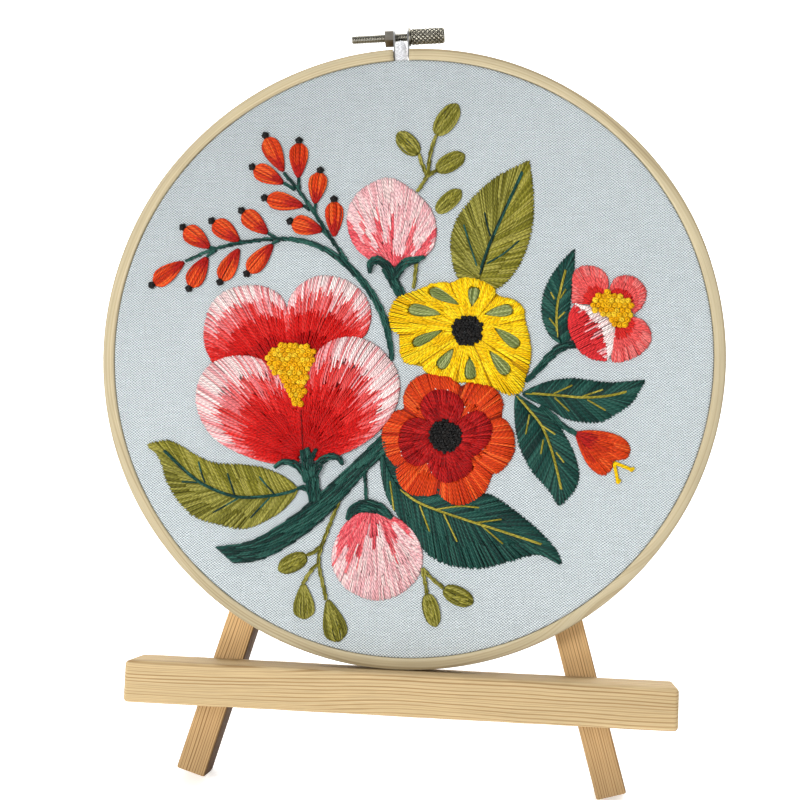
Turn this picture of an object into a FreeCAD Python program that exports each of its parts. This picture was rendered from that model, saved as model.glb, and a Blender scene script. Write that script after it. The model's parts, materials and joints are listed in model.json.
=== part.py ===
import FreeCAD, Part
import math
import os
import Sketcher
from FreeCAD import Placement, Rotation, Vector

# An embroidery hoop standing on a small folding wooden easel, in millimetres.
# +Z is up, the worked cloth faces -Y, and the origin is on the table, under the middle of the whole object.
#
# Everything of the frame and the hoop is laid out upright first and then leaned back by one placement.
# In that upright layout X is right, Y is back and Z is up, with zero on the hoop's front plane and on top
# of the ledge. The hoop has its own layout, with zero at the ring's centre in its front plane.

doc = FreeCAD.newDocument("HoopOnStand")

# ---------------------------------------------------------------- driving dimensions

SIZES = [
    ("lean_angle", 15, "lean of the front frame from upright, degrees"),
    ("splay_angle", 16.1, "half angle between the two front legs, degrees"),
    ("opening_angle", 35, "rear leg to front frame when open, degrees"),
    ("hoop_diameter", 207, "outside of the outer ring"),
    ("hoop_height", 10, "outer ring, front to back"),
    ("outer_wall", 3.8, "outer ring, radial"),
    ("inner_wall", 3.5, "inner ring, radial"),
    ("cloth_thickness", 0.5, "linen"),
    ("cloth_recess", 0.6, "linen behind the outer ring's front"),
    ("slip", 0.05, "radial clearance between linen and outer ring"),
    ("turned_in", 6.5, "linen glued inside the inner ring"),
    ("hem_clear", 0.1, "turned-in linen in front of the rings' back"),
    ("ring_round", 0.5, "rounded edges of the rings"),
    ("clamp_angle", 3.7, "clamp screw, left of the top of the hoop, degrees"),
    ("split_width", 5.4, "gap between the outer ring's ends"),
    ("ear_inset", 0.1, "ear in front of the ring end's face"),
    ("ear_thickness", 0.5, "clamp ear sheet"),
    ("ear_width", 7, "clamp ear, front to back"),
    ("ear_hole", 1.6, "clamp ear hole radius"),
    ("tail_length", 9, "ear's tail inside the ring end"),
    ("tail_depth", 2.2, "tail below the top of the outer ring"),
    ("screw_rise", 5.4, "screw axis above the outer ring"),
    ("screw_radius", 1.45, "M3 shank"),
    ("thread_side", 16.6, "shank left of the split's middle"),
    ("head_length", 11.5, "knurled head"),
    ("head_radius", 2.7, "knurled head"),
    ("screw_chamfer", 0.3, "ends of the screw"),
    ("nut_flats", 5.4, "nut across flats"),
    ("nut_thickness", 3, "nut"),
    ("washer_thickness", 0.5, "washer under the head"),
    ("washer_radius", 3.1, "washer"),
    ("bore_slip", 0.05, "radial clearance of the screw in nut and washer"),
    ("brad_radius", 0.5, "brads through the ear tails"),
    ("brad_spread", 6, "brads, each side of the split's middle"),
    ("brad_pitch", 4, "brads, front to back"),
    ("brad_short", 0.2, "brad point, short of the ring's bore"),
    ("stitch_height", 0.6, "embroidery above the linen"),
    ("ledge_length", 177.5, "ledge, side to side"),
    ("ledge_depth", 20, "ledge, front to back"),
    ("ledge_thickness", 13.8, "ledge, in the frame's plane"),
    ("ledge_round", 1.4, "eased edges of the ledge"),
    ("frame_shift", 1.4, "stand's middle, right of the hoop's"),
    ("leg_width", 10, "front legs, seen from the front"),
    ("leg_depth", 12, "all legs, front to back"),
    ("leg_spread", 58.8, "front leg axis to the middle, at the ledge top"),
    ("leg_below", 40, "front leg below the ledge top, along the leg"),
    ("leg_above", 165, "front leg above the ledge top, along the frame"),
    ("foot_flat", 1.3, "height rubbed off the lowest corner of a foot"),
    ("crossbar_length", 46, "top crossbar"),
    ("crossbar_depth", 8, "top crossbar"),
    ("crossbar_thickness", 14, "top crossbar, in the frame's plane"),
    ("crossbar_rise", 140, "crossbar's lower edge above the ledge top"),
    ("bar_round", 0.8, "eased edges of the crossbar"),
    ("hinge_width", 9, "hinge, along its pin"),
    ("hinge_leaf", 0.7, "hinge leaf"),
    ("hinge_barrel", 1.4, "hinge knuckle radius"),
    ("hinge_reach", 7.5, "hinge leaf, from the pin"),
    ("pin_radius", 0.6, "hinge pin"),
    ("pin_proud", 0.2, "hinge pin beyond the knuckles, each end"),
    ("pin_slip", 0.03, "radial clearance of the pin"),
    ("knuckle", 3, "length of one hinge knuckle"),
    ("knuckle_gap", 0.1, "end clearance of the middle knuckle"),
    ("small_screw", 0.8, "hinge screw radius"),
    ("small_head", 1.5, "hinge screw head radius"),
    ("small_length", 6, "hinge screw"),
    ("wood_screw", 1.6, "frame screw radius"),
    ("wood_head", 3.2, "frame screw head radius"),
    ("ledge_screw_length", 24, "screw through a leg into the ledge"),
    ("bar_screw_length", 17, "screw through the crossbar into a leg"),
]

sheet = doc.addObject("Spreadsheet::Sheet", "Size")
for row, (alias, value, note) in enumerate(SIZES, 1):
    sheet.set(f"A{row}", note)
    sheet.set(f"B{row}", str(value))
    sheet.setAlias(f"B{row}", alias)
doc.recompute()


def size(alias):
    return float(sheet.get(alias))


def value_of(expression):
    """What an expression of the sheet's cells comes to, as a plain number."""
    result = sheet.evalExpression(expression)
    return float(getattr(result, "Value", result))


# Expressions used in several places.
OUTER = "(Size.hoop_diameter / 2)"
BORE = f"({OUTER} - Size.outer_wall)"
INNER = f"({BORE} - Size.slip - Size.cloth_thickness)"
INNER_BORE = f"({INNER} - Size.inner_wall)"
AXIS = f"({OUTER} + Size.screw_rise)"
MID_DEPTH = "(Size.hoop_height / 2)"
CLOTH_BACK = "(Size.cloth_recess + Size.cloth_thickness)"
TURN_BACK = "(Size.hoop_height - Size.hem_clear)"
INNER_END = f"({TURN_BACK} - Size.cloth_thickness)"

# ---------------------------------------------------------------- placements

lean = math.radians(size("lean_angle"))
splay = math.radians(size("splay_angle"))
opening = math.radians(size("opening_angle"))
leg_front = size("hoop_height")
leg_back = leg_front + size("leg_depth")
bar_back = leg_back + size("crossbar_depth")

# The lowest corner of a front foot is the inner back one. It sets how high the ledge stands.
foot_drop = size("leg_below") * math.cos(splay) + size("leg_width") / 2 * math.sin(splay)
seat_height = foot_drop * math.cos(lean) + leg_back * math.sin(lean) - size("foot_flat")


def leaned(y, z):
    """Y and height on the table of a point of the upright layout, before the shift to the origin."""
    return (y * math.cos(lean) + z * math.sin(lean),
            seat_height - y * math.sin(lean) + z * math.cos(lean))


# The hinge pin lies just under the crossbar's lower back edge.
pin_y = bar_back
pin_z = size("crossbar_rise") - size("hinge_barrel")
rear_tilt = opening - lean
leg_reach = size("hinge_barrel") + size("leg_depth")
pin_world_y, pin_world_z = leaned(pin_y, pin_z)
rear_foot_run = (pin_world_z + leg_reach * math.sin(rear_tilt)) / math.cos(rear_tilt)
back_end = pin_world_y + leg_reach * math.cos(rear_tilt) + rear_foot_run * math.sin(rear_tilt)
front_end = leaned(-size("ledge_depth") + leg_front, -size("ledge_thickness"))[0]
middle_y = (front_end + back_end) / 2

LEAN = Placement(Vector(0, -middle_y, seat_height), Rotation(Vector(1, 0, 0), -math.degrees(lean)))
HOOP = LEAN.multiply(Placement(Vector(0, 0, size("hoop_diameter") / 2), Rotation()))
CLAMP = HOOP.multiply(Placement(Vector(), Rotation(Vector(0, 1, 0), -size("clamp_angle"))))
SCREW = CLAMP.multiply(Placement(Vector(0, value_of(MID_DEPTH), value_of(AXIS)), Rotation()))
STAND = LEAN.multiply(Placement(Vector(size("frame_shift"), 0, 0), Rotation()))
PIN = STAND.multiply(Placement(Vector(0, pin_y, pin_z), Rotation()))
REAR = PIN.multiply(Placement(Vector(), Rotation(Vector(1, 0, 0), math.degrees(opening))))

FORWARD_Z = Rotation(Vector(1, 0, 0), 90)     # turns a cylinder's axis to point at -Y
BACKWARD_Z = Rotation(Vector(1, 0, 0), -90)   # and to +Y
RIGHT_Z = Rotation(Vector(0, 1, 0), 90)       # and to +X

MARGIN = 1            # how far a drill or bore runs past what it cuts
SMALLEST_STITCH = 1   # cubic millimetres; slivers left between two motifs are dropped
STITCH_GAP = 0.15     # between two motifs that would touch
OVAL_SIDES = 22       # straight sides of an embroidered oval
FLOOR_SPAN = 400
FLOOR_DEPTH = 50
SPARE_LENGTH = 5      # a leg's blank runs this far below the table before it is trimmed
SPARE_TOP = 25        # and this far above the pin
TRIM_SPAN = 60        # blocks that trim the rear leg
RING_EDGE = 200       # a ring's own round edges are longer than this
TINY = 0.01


def at(frame, x, y, z, turn=Rotation()):
    return frame.multiply(Placement(Vector(x, y, z), turn))


# ---------------------------------------------------------------- helpers

NODES = []


def node(thing, label, placement=None):
    """Name a finished sub-part, place it, and list it for export."""
    thing.Label = label
    if placement is not None:
        thing.Placement = placement
    NODES.append(thing)
    return thing


def primitive(kind, name, placement, **bound):
    thing = doc.addObject(kind, name)
    for prop, expression in bound.items():
        thing.setExpression(prop, expression)
    thing.Placement = placement
    return thing


def box(name, placement, length, width, height):
    return primitive("Part::Box", name, placement, Length=length, Width=width, Height=height)


def rod(name, placement, radius, height):
    return primitive("Part::Cylinder", name, placement, Radius=radius, Height=height)


def joined(name, shapes):
    fuse = doc.addObject("Part::MultiFuse", name)
    fuse.Shapes = shapes
    return fuse


def cut(name, base, tools):
    result = doc.addObject("Part::Cut", name)
    result.Base = base
    result.Tool = tools[0] if len(tools) == 1 else joined(name + "_tools", tools)
    return result


def new_body(name):
    return doc.addObject("PartDesign::Body", name)


def origin_plane(body, role):
    return next(feature for feature in body.Origin.OriginFeatures if feature.Role == role)


def new_sketch(body, name, role, offset=0.0):
    sketch = body.newObject("Sketcher::SketchObject", name)
    sketch.AttachmentSupport = (origin_plane(body, role), [""])
    sketch.MapMode = "FlatFace"
    sketch.AttachmentOffset = Placement(Vector(0, 0, offset), Rotation())
    return sketch


def pin_point(sketch, index, which, across, up):
    """Bind a point's two sketch coordinates to expressions, or put it on an axis where one is zero."""
    for kind, axis, expression in (("DistanceX", -2, across), ("DistanceY", -1, up)):
        amount = value_of(expression)
        if abs(amount) < 1e-9:
            sketch.addConstraint(Sketcher.Constraint("PointOnObject", index, which, axis))
        else:
            number = sketch.addConstraint(Sketcher.Constraint(kind, -1, 1, index, which, amount))
            sketch.setExpression(f"Constraints[{number}]", expression)


def outline(sketch, corners):
    """A closed outline of straight lines, with every corner bound to the sheet."""
    points = [Vector(value_of(across), value_of(up), 0) for across, up in corners]
    first = sketch.GeometryCount
    count = len(points)
    for start in range(count):
        sketch.addGeometry(Part.LineSegment(points[start], points[(start + 1) % count]), False)
    for start in range(count):
        following = first + (start + 1) % count
        sketch.addConstraint(Sketcher.Constraint("Coincident", first + start, 2, following, 1))
    for start, (across, up) in enumerate(corners):
        pin_point(sketch, first + start, 1, across, up)


def circle(sketch, across, up, radius):
    centre = Vector(value_of(across), value_of(up), 0)
    index = sketch.addGeometry(Part.Circle(centre, Vector(0, 0, 1), value_of(radius)), False)
    number = sketch.addConstraint(Sketcher.Constraint("Radius", index, value_of(radius)))
    sketch.setExpression(f"Constraints[{number}]", radius)
    pin_point(sketch, index, 3, across, up)


def feature(body, kind, name, sketch, **properties):
    made = body.newObject("PartDesign::" + kind, name)
    made.Profile = sketch
    for prop, setting in properties.items():
        if isinstance(setting, str):
            made.setExpression(prop, setting)
        else:
            setattr(made, prop, setting)
    body.Tip = made
    return made


def hollowed(body, kind, name, sketch, **properties):
    """A cutting feature, which must take something away."""
    doc.recompute()
    before = body.Shape.Volume
    made = feature(body, kind, name, sketch, **properties)
    doc.recompute()
    if body.Shape.Volume > before - TINY:
        raise RuntimeError(f"{name} cut nothing")
    return made


def eased(body, name, radius, wanted):
    """Round the edges of the body's last feature that wanted() picks."""
    doc.recompute()
    base = body.Tip
    names = [f"Edge{index}" for index, edge in enumerate(base.Shape.Edges, 1) if wanted(edge)]
    fillet = body.newObject("PartDesign::Fillet", name)
    fillet.Base = (base, names)
    fillet.setExpression("Radius", radius)
    body.Tip = fillet
    return fillet


def is_ring_edge(edge):
    return isinstance(edge.Curve, Part.Circle) and edge.Length > RING_EDGE


def is_long_edge(edge):
    return isinstance(edge.Curve, Part.Line)


# ---------------------------------------------------------------- rings


def outer_ring():
    """Bamboo ring with a split at the top, a saw kerf in each end for an ear's tail, and brad holes."""
    body = new_body("OuterRing")
    profile = new_sketch(body, "OuterProfile", "YZ_Plane")
    outline(profile, [("0", f"-{OUTER}"), ("Size.hoop_height", f"-{OUTER}"),
                      ("Size.hoop_height", f"-{BORE}"), ("0", f"-{BORE}")])
    feature(body, "Revolution", "OuterTurn", profile, ReferenceAxis=(profile, ["H_Axis"]),
            Angle="360 deg - 2 * asin(Size.split_width / Size.hoop_diameter)", Midplane=True)
    eased(body, "OuterEdges", "Size.ring_round", is_ring_edge)

    kerf = new_sketch(body, "KerfProfile", "XZ_Plane", -value_of(MID_DEPTH))
    reach = "(Size.split_width / 2 + Size.tail_length)"
    bottom = f"({OUTER} - Size.tail_depth)"
    top = f"({bottom} + Size.ear_thickness)"
    outline(kerf, [(f"-{reach}", bottom), (reach, bottom), (reach, top), (f"-{reach}", top)])
    hollowed(body, "Pocket", "Kerf", kerf, Length="Size.ear_width", Midplane=True)

    holes = new_sketch(body, "BradHoles", "XY_Plane")
    for side in ("-", ""):
        for way in ("-", "+"):
            circle(holes, f"{side}Size.brad_spread", f"{MID_DEPTH} {way} Size.brad_pitch / 2",
                   "Size.brad_radius")
    hollowed(body, "Pocket", "BradPockets", holes, Length=f"{OUTER} + {MARGIN}", Reversed=True)
    return node(body, "outer_ring", CLAMP)


def inner_ring():
    body = new_body("InnerRing")
    profile = new_sketch(body, "InnerProfile", "YZ_Plane")
    outline(profile, [(CLOTH_BACK, INNER_BORE), (INNER_END, INNER_BORE),
                      (INNER_END, INNER), (CLOTH_BACK, INNER)])
    feature(body, "Revolution", "InnerTurn", profile, ReferenceAxis=(profile, ["H_Axis"]))
    return node(body, "inner_ring", HOOP)


# ---------------------------------------------------------------- linen and embroidery


def linen_face():
    """The drum-tight disc of cloth."""
    disc = rod("LinenFace", at(HOOP, 0, size("cloth_recess"), 0, BACKWARD_Z), INNER,
               "Size.cloth_thickness")
    return node(disc, "linen_face")


def linen_edge():
    """The same cloth where it passes between the rings and is turned in behind the inner one."""
    body = new_body("LinenEdge")
    profile = new_sketch(body, "EdgeProfile", "YZ_Plane")
    wrap = f"({INNER} + Size.cloth_thickness)"
    lining = f"({INNER_BORE} - Size.cloth_thickness)"
    hem = f"({TURN_BACK} - Size.turned_in)"
    outline(profile, [("Size.cloth_recess", INNER), ("Size.cloth_recess", wrap), (TURN_BACK, wrap),
                      (TURN_BACK, lining), (hem, lining), (hem, INNER_BORE),
                      (INNER_END, INNER_BORE), (INNER_END, INNER)])
    feature(body, "Revolution", "EdgeTurn", profile, ReferenceAxis=(profile, ["H_Axis"]))
    return node(body, "linen_edge", HOOP)


def oval_prism(x, z, major, minor, turn):
    """An oval of straight sides, stitch_height thick, standing on the linen. Hoop layout, turn in degrees."""
    steps = [2 * math.pi * step / OVAL_SIDES for step in range(OVAL_SIDES)]
    points = [Vector(major * math.cos(step), minor * math.sin(step), 0) for step in steps]
    face = Part.Face(Part.makePolygon(points + points[:1]))
    solid = face.extrude(Vector(0, 0, size("stitch_height")))
    standing = Placement(Vector(x, size("cloth_recess"), z), FORWARD_Z)
    solid.Placement = standing.multiply(Placement(Vector(), Rotation(Vector(0, 0, 1), turn)))
    return solid


def leaf_shape(oval, grow=0):
    """An oval from its base to its tip."""
    base_x, base_z, tip_x, tip_z, width = oval
    length = math.hypot(tip_x - base_x, tip_z - base_z)
    turn = math.degrees(math.atan2(tip_z - base_z, tip_x - base_x))
    return oval_prism((base_x + tip_x) / 2, (base_z + tip_z) / 2, length / 2 + grow, width / 2 + grow, turn)


def stem_shapes(points, width, grow=0):
    """Straight bars from point to point, with round joints between them."""
    shapes = []
    half = width / 2 + grow
    for (x0, z0), (x1, z1) in zip(points, points[1:]):
        length = math.hypot(x1 - x0, z1 - z0)
        bar = Part.makeBox(length, 2 * half, size("stitch_height"), Vector(0, -half, 0))
        turn = math.degrees(math.atan2(z1 - z0, x1 - x0))
        start = Placement(Vector(x0, size("cloth_recess"), z0), FORWARD_Z)
        bar.Placement = start.multiply(Placement(Vector(), Rotation(Vector(0, 0, 1), turn)))
        shapes.append(bar)
    return shapes + [oval_prism(x, z, half, half, 0) for x, z in points]


# Each oval is its base, its tip and its width. Distances are from the middle of the hoop, x then up.
BIG_FLOWER = [(-38, -3, -66, 17, 33), (-36, 0, -16, 23, 30), (-40, -12, -65, -22, 30),
              (-34, -10, -5, -18, 34)]
YELLOW_FLOWER = [(19, 8.5, 19 + 20 * math.cos(math.radians(a)), 8.5 + 17 * math.sin(math.radians(a)), 15)
                 for a in range(10, 370, 45)]
ORANGE_FLOWER = [(13.5, -27, 13.5 + 22 * math.cos(math.radians(a)), -27 + 21 * math.sin(math.radians(a)), 24)
                 for a in range(18, 378, 72)]
BUDS = [(-6, 29, -14, 57, 20), (-6, 29, 1, 58, 18), (-9, -52, -14, -81, 20), (-9, -52, 0, -80, 18),
        (68, 12, 64, 22, 15), (56, 8, 59, 30, 8), (60, 6, 84, 10, 9), (66, 22, 80, 24, 6),
        (56, -25, 77, -27, 14), (58, -28, 64, -42, 12)]
BERRIES = [(-45.2, 61.3, -52, 74, 8), (-40, 58.3, -39.9, 72.5, 8), (-45.2, 56.1, -57, 62.5, 8),
           (-33.1, 49.9, -32.3, 62.5, 8), (-37.8, 49.1, -52, 51.5, 8), (-26.2, 38.8, -27.1, 52.5, 8),
           (-30.3, 40.3, -42.5, 44, 8), (-49.3, 39, -59.5, 47.5, 8), (-58.7, 36.1, -69.5, 44, 8),
           (-68.8, 33.8, -79.5, 41, 8), (-77.2, 28.8, -88.5, 20, 8), (-69, 30.4, -75.5, 18.5, 8),
           (-58.9, 34, -65, 21, 8), (-47.4, 35.6, -56.5, 24.5, 8)]
OLIVE_LEAVES = [(22.4, 26.9, 37.6, 65.5, 24), (-35.7, -45.1, -86, -33.9, 19),
                (5, 70, 10, 80, 7), (3, 66, -3.5, 72, 6), (4, 62, 12, 66, 6), (4, 56, 12, 52, 6),
                (-27, -66, -36, -71, 6), (-27, -74, -31, -83, 6), (-24, -80, -20, -88, 6),
                (9, -73, 20, -78, 6), (8, -76, 11, -84, 6)]
DARK_LEAVES = [(38.2, -10.5, 77.3, -8, 15), (37, -14, 53, -47.5, 17), (0, -43, 50, -66, 24),
               (49.5, 4.9, 52.5, 36, 10)]
THICK_STEMS = [[(-58.5, -69), (-46, -69), (-30, -62), (-17, -48), (-9, -34)],
               [(-8.5, -33), (-5, -1), (-1, 22), (0, 30)]]
THIN_STEMS = [[(-76.5, 29.3), (-66.4, 33.8), (-46.5, 37.7), (-34.2, 35.9), (-23.1, 30.5), (-13.6, 20.9),
               (-8, 11), (-5.7, -1)],
              [(-45, 60.1), (-38.6, 53.3), (-31, 43.1), (-23.3, 31.8)],
              [(1.4, 24), (3, 44), (3.2, 58.4), (6, 70)],
              [(-29, -46), (-36, -45)], [(-20.9, -50.8), (-26.7, -69.1), (-23.5, -82)],
              [(54, 5.8), (44.7, -0.7), (36, -10), (22, -20)], [(56, -24.6), (46, -17.7), (36, -12)],
              [(-12.9, -38.6), (-11.7, -50)], [(7, -71), (-4, -54), (-9, -36)]]


THICK, THIN = 5, 1.4
MOTIFS = [("yellow_flower_stitches", YELLOW_FLOWER), ("orange_flower_stitches", ORANGE_FLOWER),
          ("big_flower_stitches", BIG_FLOWER), ("bud_stitches", BUDS), ("berry_stitches", BERRIES),
          ("olive_leaf_stitches", OLIVE_LEAVES), ("dark_leaf_stitches", DARK_LEAVES)]


def all_leaves(ovals, grow):
    return [leaf_shape(oval, grow) for oval in ovals]


def all_stems(grow):
    shapes = []
    for runs, width in ((THICK_STEMS, THICK), (THIN_STEMS, THIN)):
        for run in runs:
            shapes += stem_shapes(run, width, grow)
    return shapes


def fused(shapes):
    return shapes[0].multiFuse(shapes[1:]) if len(shapes) > 1 else shapes[0]


def embroidery():
    """Every motif stands on the linen beside its neighbours, so each is cut back from the earlier ones."""
    groups = [(label, lambda grow, ovals=ovals: all_leaves(ovals, grow)) for label, ovals in MOTIFS]
    groups.append(("stem_stitches", all_stems))
    taken = []
    for label, made in groups:
        shape = fused(made(0)).removeSplitter()
        for room in taken:
            shape = shape.cut(room)
        taken += made(STITCH_GAP)
        solids = [solid for solid in shape.Solids if solid.Volume > SMALLEST_STITCH]
        motif = doc.addObject("Part::Feature", label.title().replace("_", ""))
        motif.Shape = Part.makeCompound(solids)
        node(motif, label, HOOP)


# ---------------------------------------------------------------- clamp


def bracket(label, side):
    """A sheet ear that stands on a ring end, with a tail let into the ring's kerf."""
    half_gap = size("split_width") / 2
    thickness, width = size("ear_thickness"), size("ear_width")
    ear_face = half_gap - size("ear_inset")
    tail_z = size("hoop_diameter") / 2 - size("tail_depth")
    rise = "Size.tail_depth + Size.screw_rise"
    front = value_of(MID_DEPTH) - width / 2
    x_ear = ear_face - thickness if side > 0 else -ear_face
    x_tail = x_ear if side > 0 else -half_gap - size("tail_length")
    prefix = label.title().replace("_", "")
    ear = box(prefix + "Ear", at(CLAMP, x_ear, front, tail_z), "Size.ear_thickness",
              "Size.ear_width", rise)
    crown = rod(prefix + "Crown", at(CLAMP, x_ear, value_of(MID_DEPTH), value_of(AXIS), RIGHT_Z),
                "Size.ear_width / 2", "Size.ear_thickness")
    tail = box(prefix + "Tail", at(CLAMP, x_tail, front, tail_z),
               "Size.tail_length + Size.ear_inset + Size.ear_thickness", "Size.ear_width",
               "Size.ear_thickness")
    hole = rod(prefix + "Hole", at(CLAMP, x_ear - MARGIN, value_of(MID_DEPTH), value_of(AXIS), RIGHT_Z),
               "Size.ear_hole", f"Size.ear_thickness + 2 * {MARGIN}")
    brads = [rod(f"{prefix}BradHole{number}",
                 at(CLAMP, side * size("brad_spread"), value_of(MID_DEPTH) + way * size("brad_pitch") / 2,
                    tail_z - MARGIN),
                 "Size.brad_radius", f"Size.ear_thickness + 2 * {MARGIN}")
             for number, way in enumerate((-1, 1))]
    plate = joined(prefix + "Plate", [ear, crown, tail])
    return node(cut(prefix, plate, [hole] + brads), label)


def bracket_brads():
    """Four headless brads from the ring's outside, through its wall and the ear tails."""
    short = size("brad_short")
    spread = size("brad_spread")
    top = math.sqrt((size("hoop_diameter") / 2) ** 2 - spread ** 2)
    bottom = math.sqrt(value_of(BORE) ** 2 - spread ** 2)
    rods = []
    for number, (side, way) in enumerate(((-1, -1), (-1, 1), (1, -1), (1, 1))):
        middle = value_of(MID_DEPTH) + way * size("brad_pitch") / 2
        rods.append(rod(f"Brad{number}", at(CLAMP, side * spread, middle, bottom + short),
                        "Size.brad_radius", f"{top - bottom - short}"))
    return node(joined("BracketBrads", rods), "bracket_brads")


def thumb_screw():
    """Shank and knurled head turned in one piece, lying along X."""
    body = new_body("ThumbScrew")
    profile = new_sketch(body, "ScrewProfile", "XZ_Plane")
    start = "(Size.split_width / 2 - Size.ear_inset + Size.washer_thickness)"
    end = f"({start} + Size.head_length)"
    soft = "Size.screw_chamfer"
    outline(profile, [("-Size.thread_side", "0"), ("-Size.thread_side", f"Size.screw_radius - {soft}"),
                      (f"-Size.thread_side + {soft}", "Size.screw_radius"), (start, "Size.screw_radius"),
                      (start, "Size.head_radius"), (f"{end} - {soft}", "Size.head_radius"),
                      (end, f"Size.head_radius - {soft}"), (end, "0")])
    feature(body, "Revolution", "ScrewTurn", profile, ReferenceAxis=(profile, ["H_Axis"]))
    return node(body, "thumb_screw", SCREW)


def clamp_nut():
    body = new_body("ClampNut")
    profile = new_sketch(body, "NutProfile", "YZ_Plane")
    corner = "(Size.nut_flats / 2 / cos(30 deg))"
    outline(profile, [(f"{corner} * cos({angle} deg)", f"{corner} * sin({angle} deg)")
                      for angle in range(30, 390, 60)])
    circle(profile, "0", "0", "Size.screw_radius + Size.bore_slip")
    feature(body, "Pad", "NutPad", profile, Length="Size.nut_thickness")
    shift = size("ear_inset") - size("split_width") / 2 - size("nut_thickness")
    return node(body, "clamp_nut", at(SCREW, shift, 0, 0))


def screw_washer():
    body = new_body("ScrewWasher")
    profile = new_sketch(body, "WasherProfile", "YZ_Plane")
    circle(profile, "0", "0", "Size.washer_radius")
    circle(profile, "0", "0", "Size.screw_radius + Size.bore_slip")
    feature(body, "Pad", "WasherPad", profile, Length="Size.washer_thickness")
    return node(body, "screw_washer", at(SCREW, size("split_width") / 2 - size("ear_inset"), 0, 0))


# ---------------------------------------------------------------- wood screws


def countersunk(name, frame, radius, head_radius, length):
    """A wood screw whose head lies flush at the frame's zero and whose point is along +Z."""
    shank = rod(name + "Shank", frame, radius, length)
    head = primitive("Part::Cone", name + "Head", frame, Radius1=head_radius, Radius2=radius,
                     Height=f"{head_radius} - {radius}")
    return joined(name, [shank, head])


def screws(label, frames, radius, head_radius, length):
    """One node for a set of equal screws."""
    prefix = label.title().replace("_", "")
    each = [countersunk(f"{prefix}{number}", frame, radius, head_radius, length)
            for number, frame in enumerate(frames)]
    return node(joined(prefix, each), label)


def screw_holes(prefix, frames, radius, head_radius, length):
    """The same shapes again, to cut from the wood or metal that the screws pass through."""
    return [countersunk(f"{prefix}Hole{number}", frame, radius, head_radius, length)
            for number, frame in enumerate(frames)]


leg_lean = math.tan(splay)


def leg_axis_x(side, z):
    """X of a front leg's centre line at a height above the ledge top."""
    return side * (size("leg_spread") - z * leg_lean)


LEDGE_SCREW_Z = -size("ledge_thickness") / 2
BAR_SCREW_Z = size("crossbar_rise") + size("crossbar_thickness") / 2
ledge_frames = {side: at(STAND, leg_axis_x(side, LEDGE_SCREW_Z), leg_back, LEDGE_SCREW_Z, FORWARD_Z)
                for side in (-1, 1)}
bar_frames = {side: at(STAND, leg_axis_x(side, BAR_SCREW_Z), bar_back, BAR_SCREW_Z, FORWARD_Z)
              for side in (-1, 1)}
FRAME_SCREW = ("Size.wood_screw", "Size.wood_head")
HINGE_SCREW = ("Size.small_screw", "Size.small_head")

# Hinge screws: two per leaf, staggered across the leaf, at these distances from the pin.
hinge_spots = [(-1.8, 2.9), (1.8, 5.6)]
barrel = size("hinge_barrel")
front_leaf_z = barrel - size("hinge_leaf")
frame_screw_frames = [at(PIN, x, -reach, front_leaf_z) for x, reach in hinge_spots]
leg_screw_frames = [at(REAR, x, front_leaf_z, -reach, BACKWARD_Z) for x, reach in hinge_spots]

# ---------------------------------------------------------------- easel


def ledge():
    body = new_body("Ledge")
    profile = new_sketch(body, "LedgeProfile", "YZ_Plane")
    outline(profile, [("Size.hoop_height - Size.ledge_depth", "0"), ("Size.hoop_height", "0"),
                      ("Size.hoop_height", "-Size.ledge_thickness"),
                      ("Size.hoop_height - Size.ledge_depth", "-Size.ledge_thickness")])
    feature(body, "Pad", "LedgePad", profile, Length="Size.ledge_length", Midplane=True)
    back = size("hoop_height")
    eased(body, "LedgeEdges", "Size.ledge_round",
          lambda edge: is_long_edge(edge) and min(v.Y for v in edge.Vertexes) < back - TINY)
    body.Placement = STAND
    holes = screw_holes("Ledge", ledge_frames.values(), *FRAME_SCREW, "Size.ledge_screw_length")
    return node(cut("LedgeDrilled", body, holes), "ledge")


def floor_block(name):
    """Everything below the table top."""
    corner = Placement(Vector(-FLOOR_SPAN / 2, -FLOOR_SPAN / 2, -FLOOR_DEPTH), Rotation())
    return box(name, corner, f"{FLOOR_SPAN}", f"{FLOOR_SPAN}", f"{FLOOR_DEPTH}")


def front_leg(label, side):
    """A square bar at the splay angle, its lowest corner rubbed flat on the table."""
    prefix = label.title().replace("_", "")
    turn = Rotation(Vector(0, 1, 0), -side * size("splay_angle"))
    start = at(STAND, leg_axis_x(side, 0), leg_front, 0, turn)
    blank = box(prefix + "Bar", at(start, -size("leg_width") / 2, 0, -size("leg_below")),
                "Size.leg_width", "Size.leg_depth",
                "Size.leg_below + Size.leg_above / cos(Size.splay_angle * 1 deg)")
    holes = screw_holes(prefix + "Ledge", [ledge_frames[side]], *FRAME_SCREW, "Size.ledge_screw_length")
    holes += screw_holes(prefix + "Bar", [bar_frames[side]], *FRAME_SCREW, "Size.bar_screw_length")
    return node(cut(prefix, blank, holes + [floor_block(prefix + "Floor")]), label)


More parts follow.
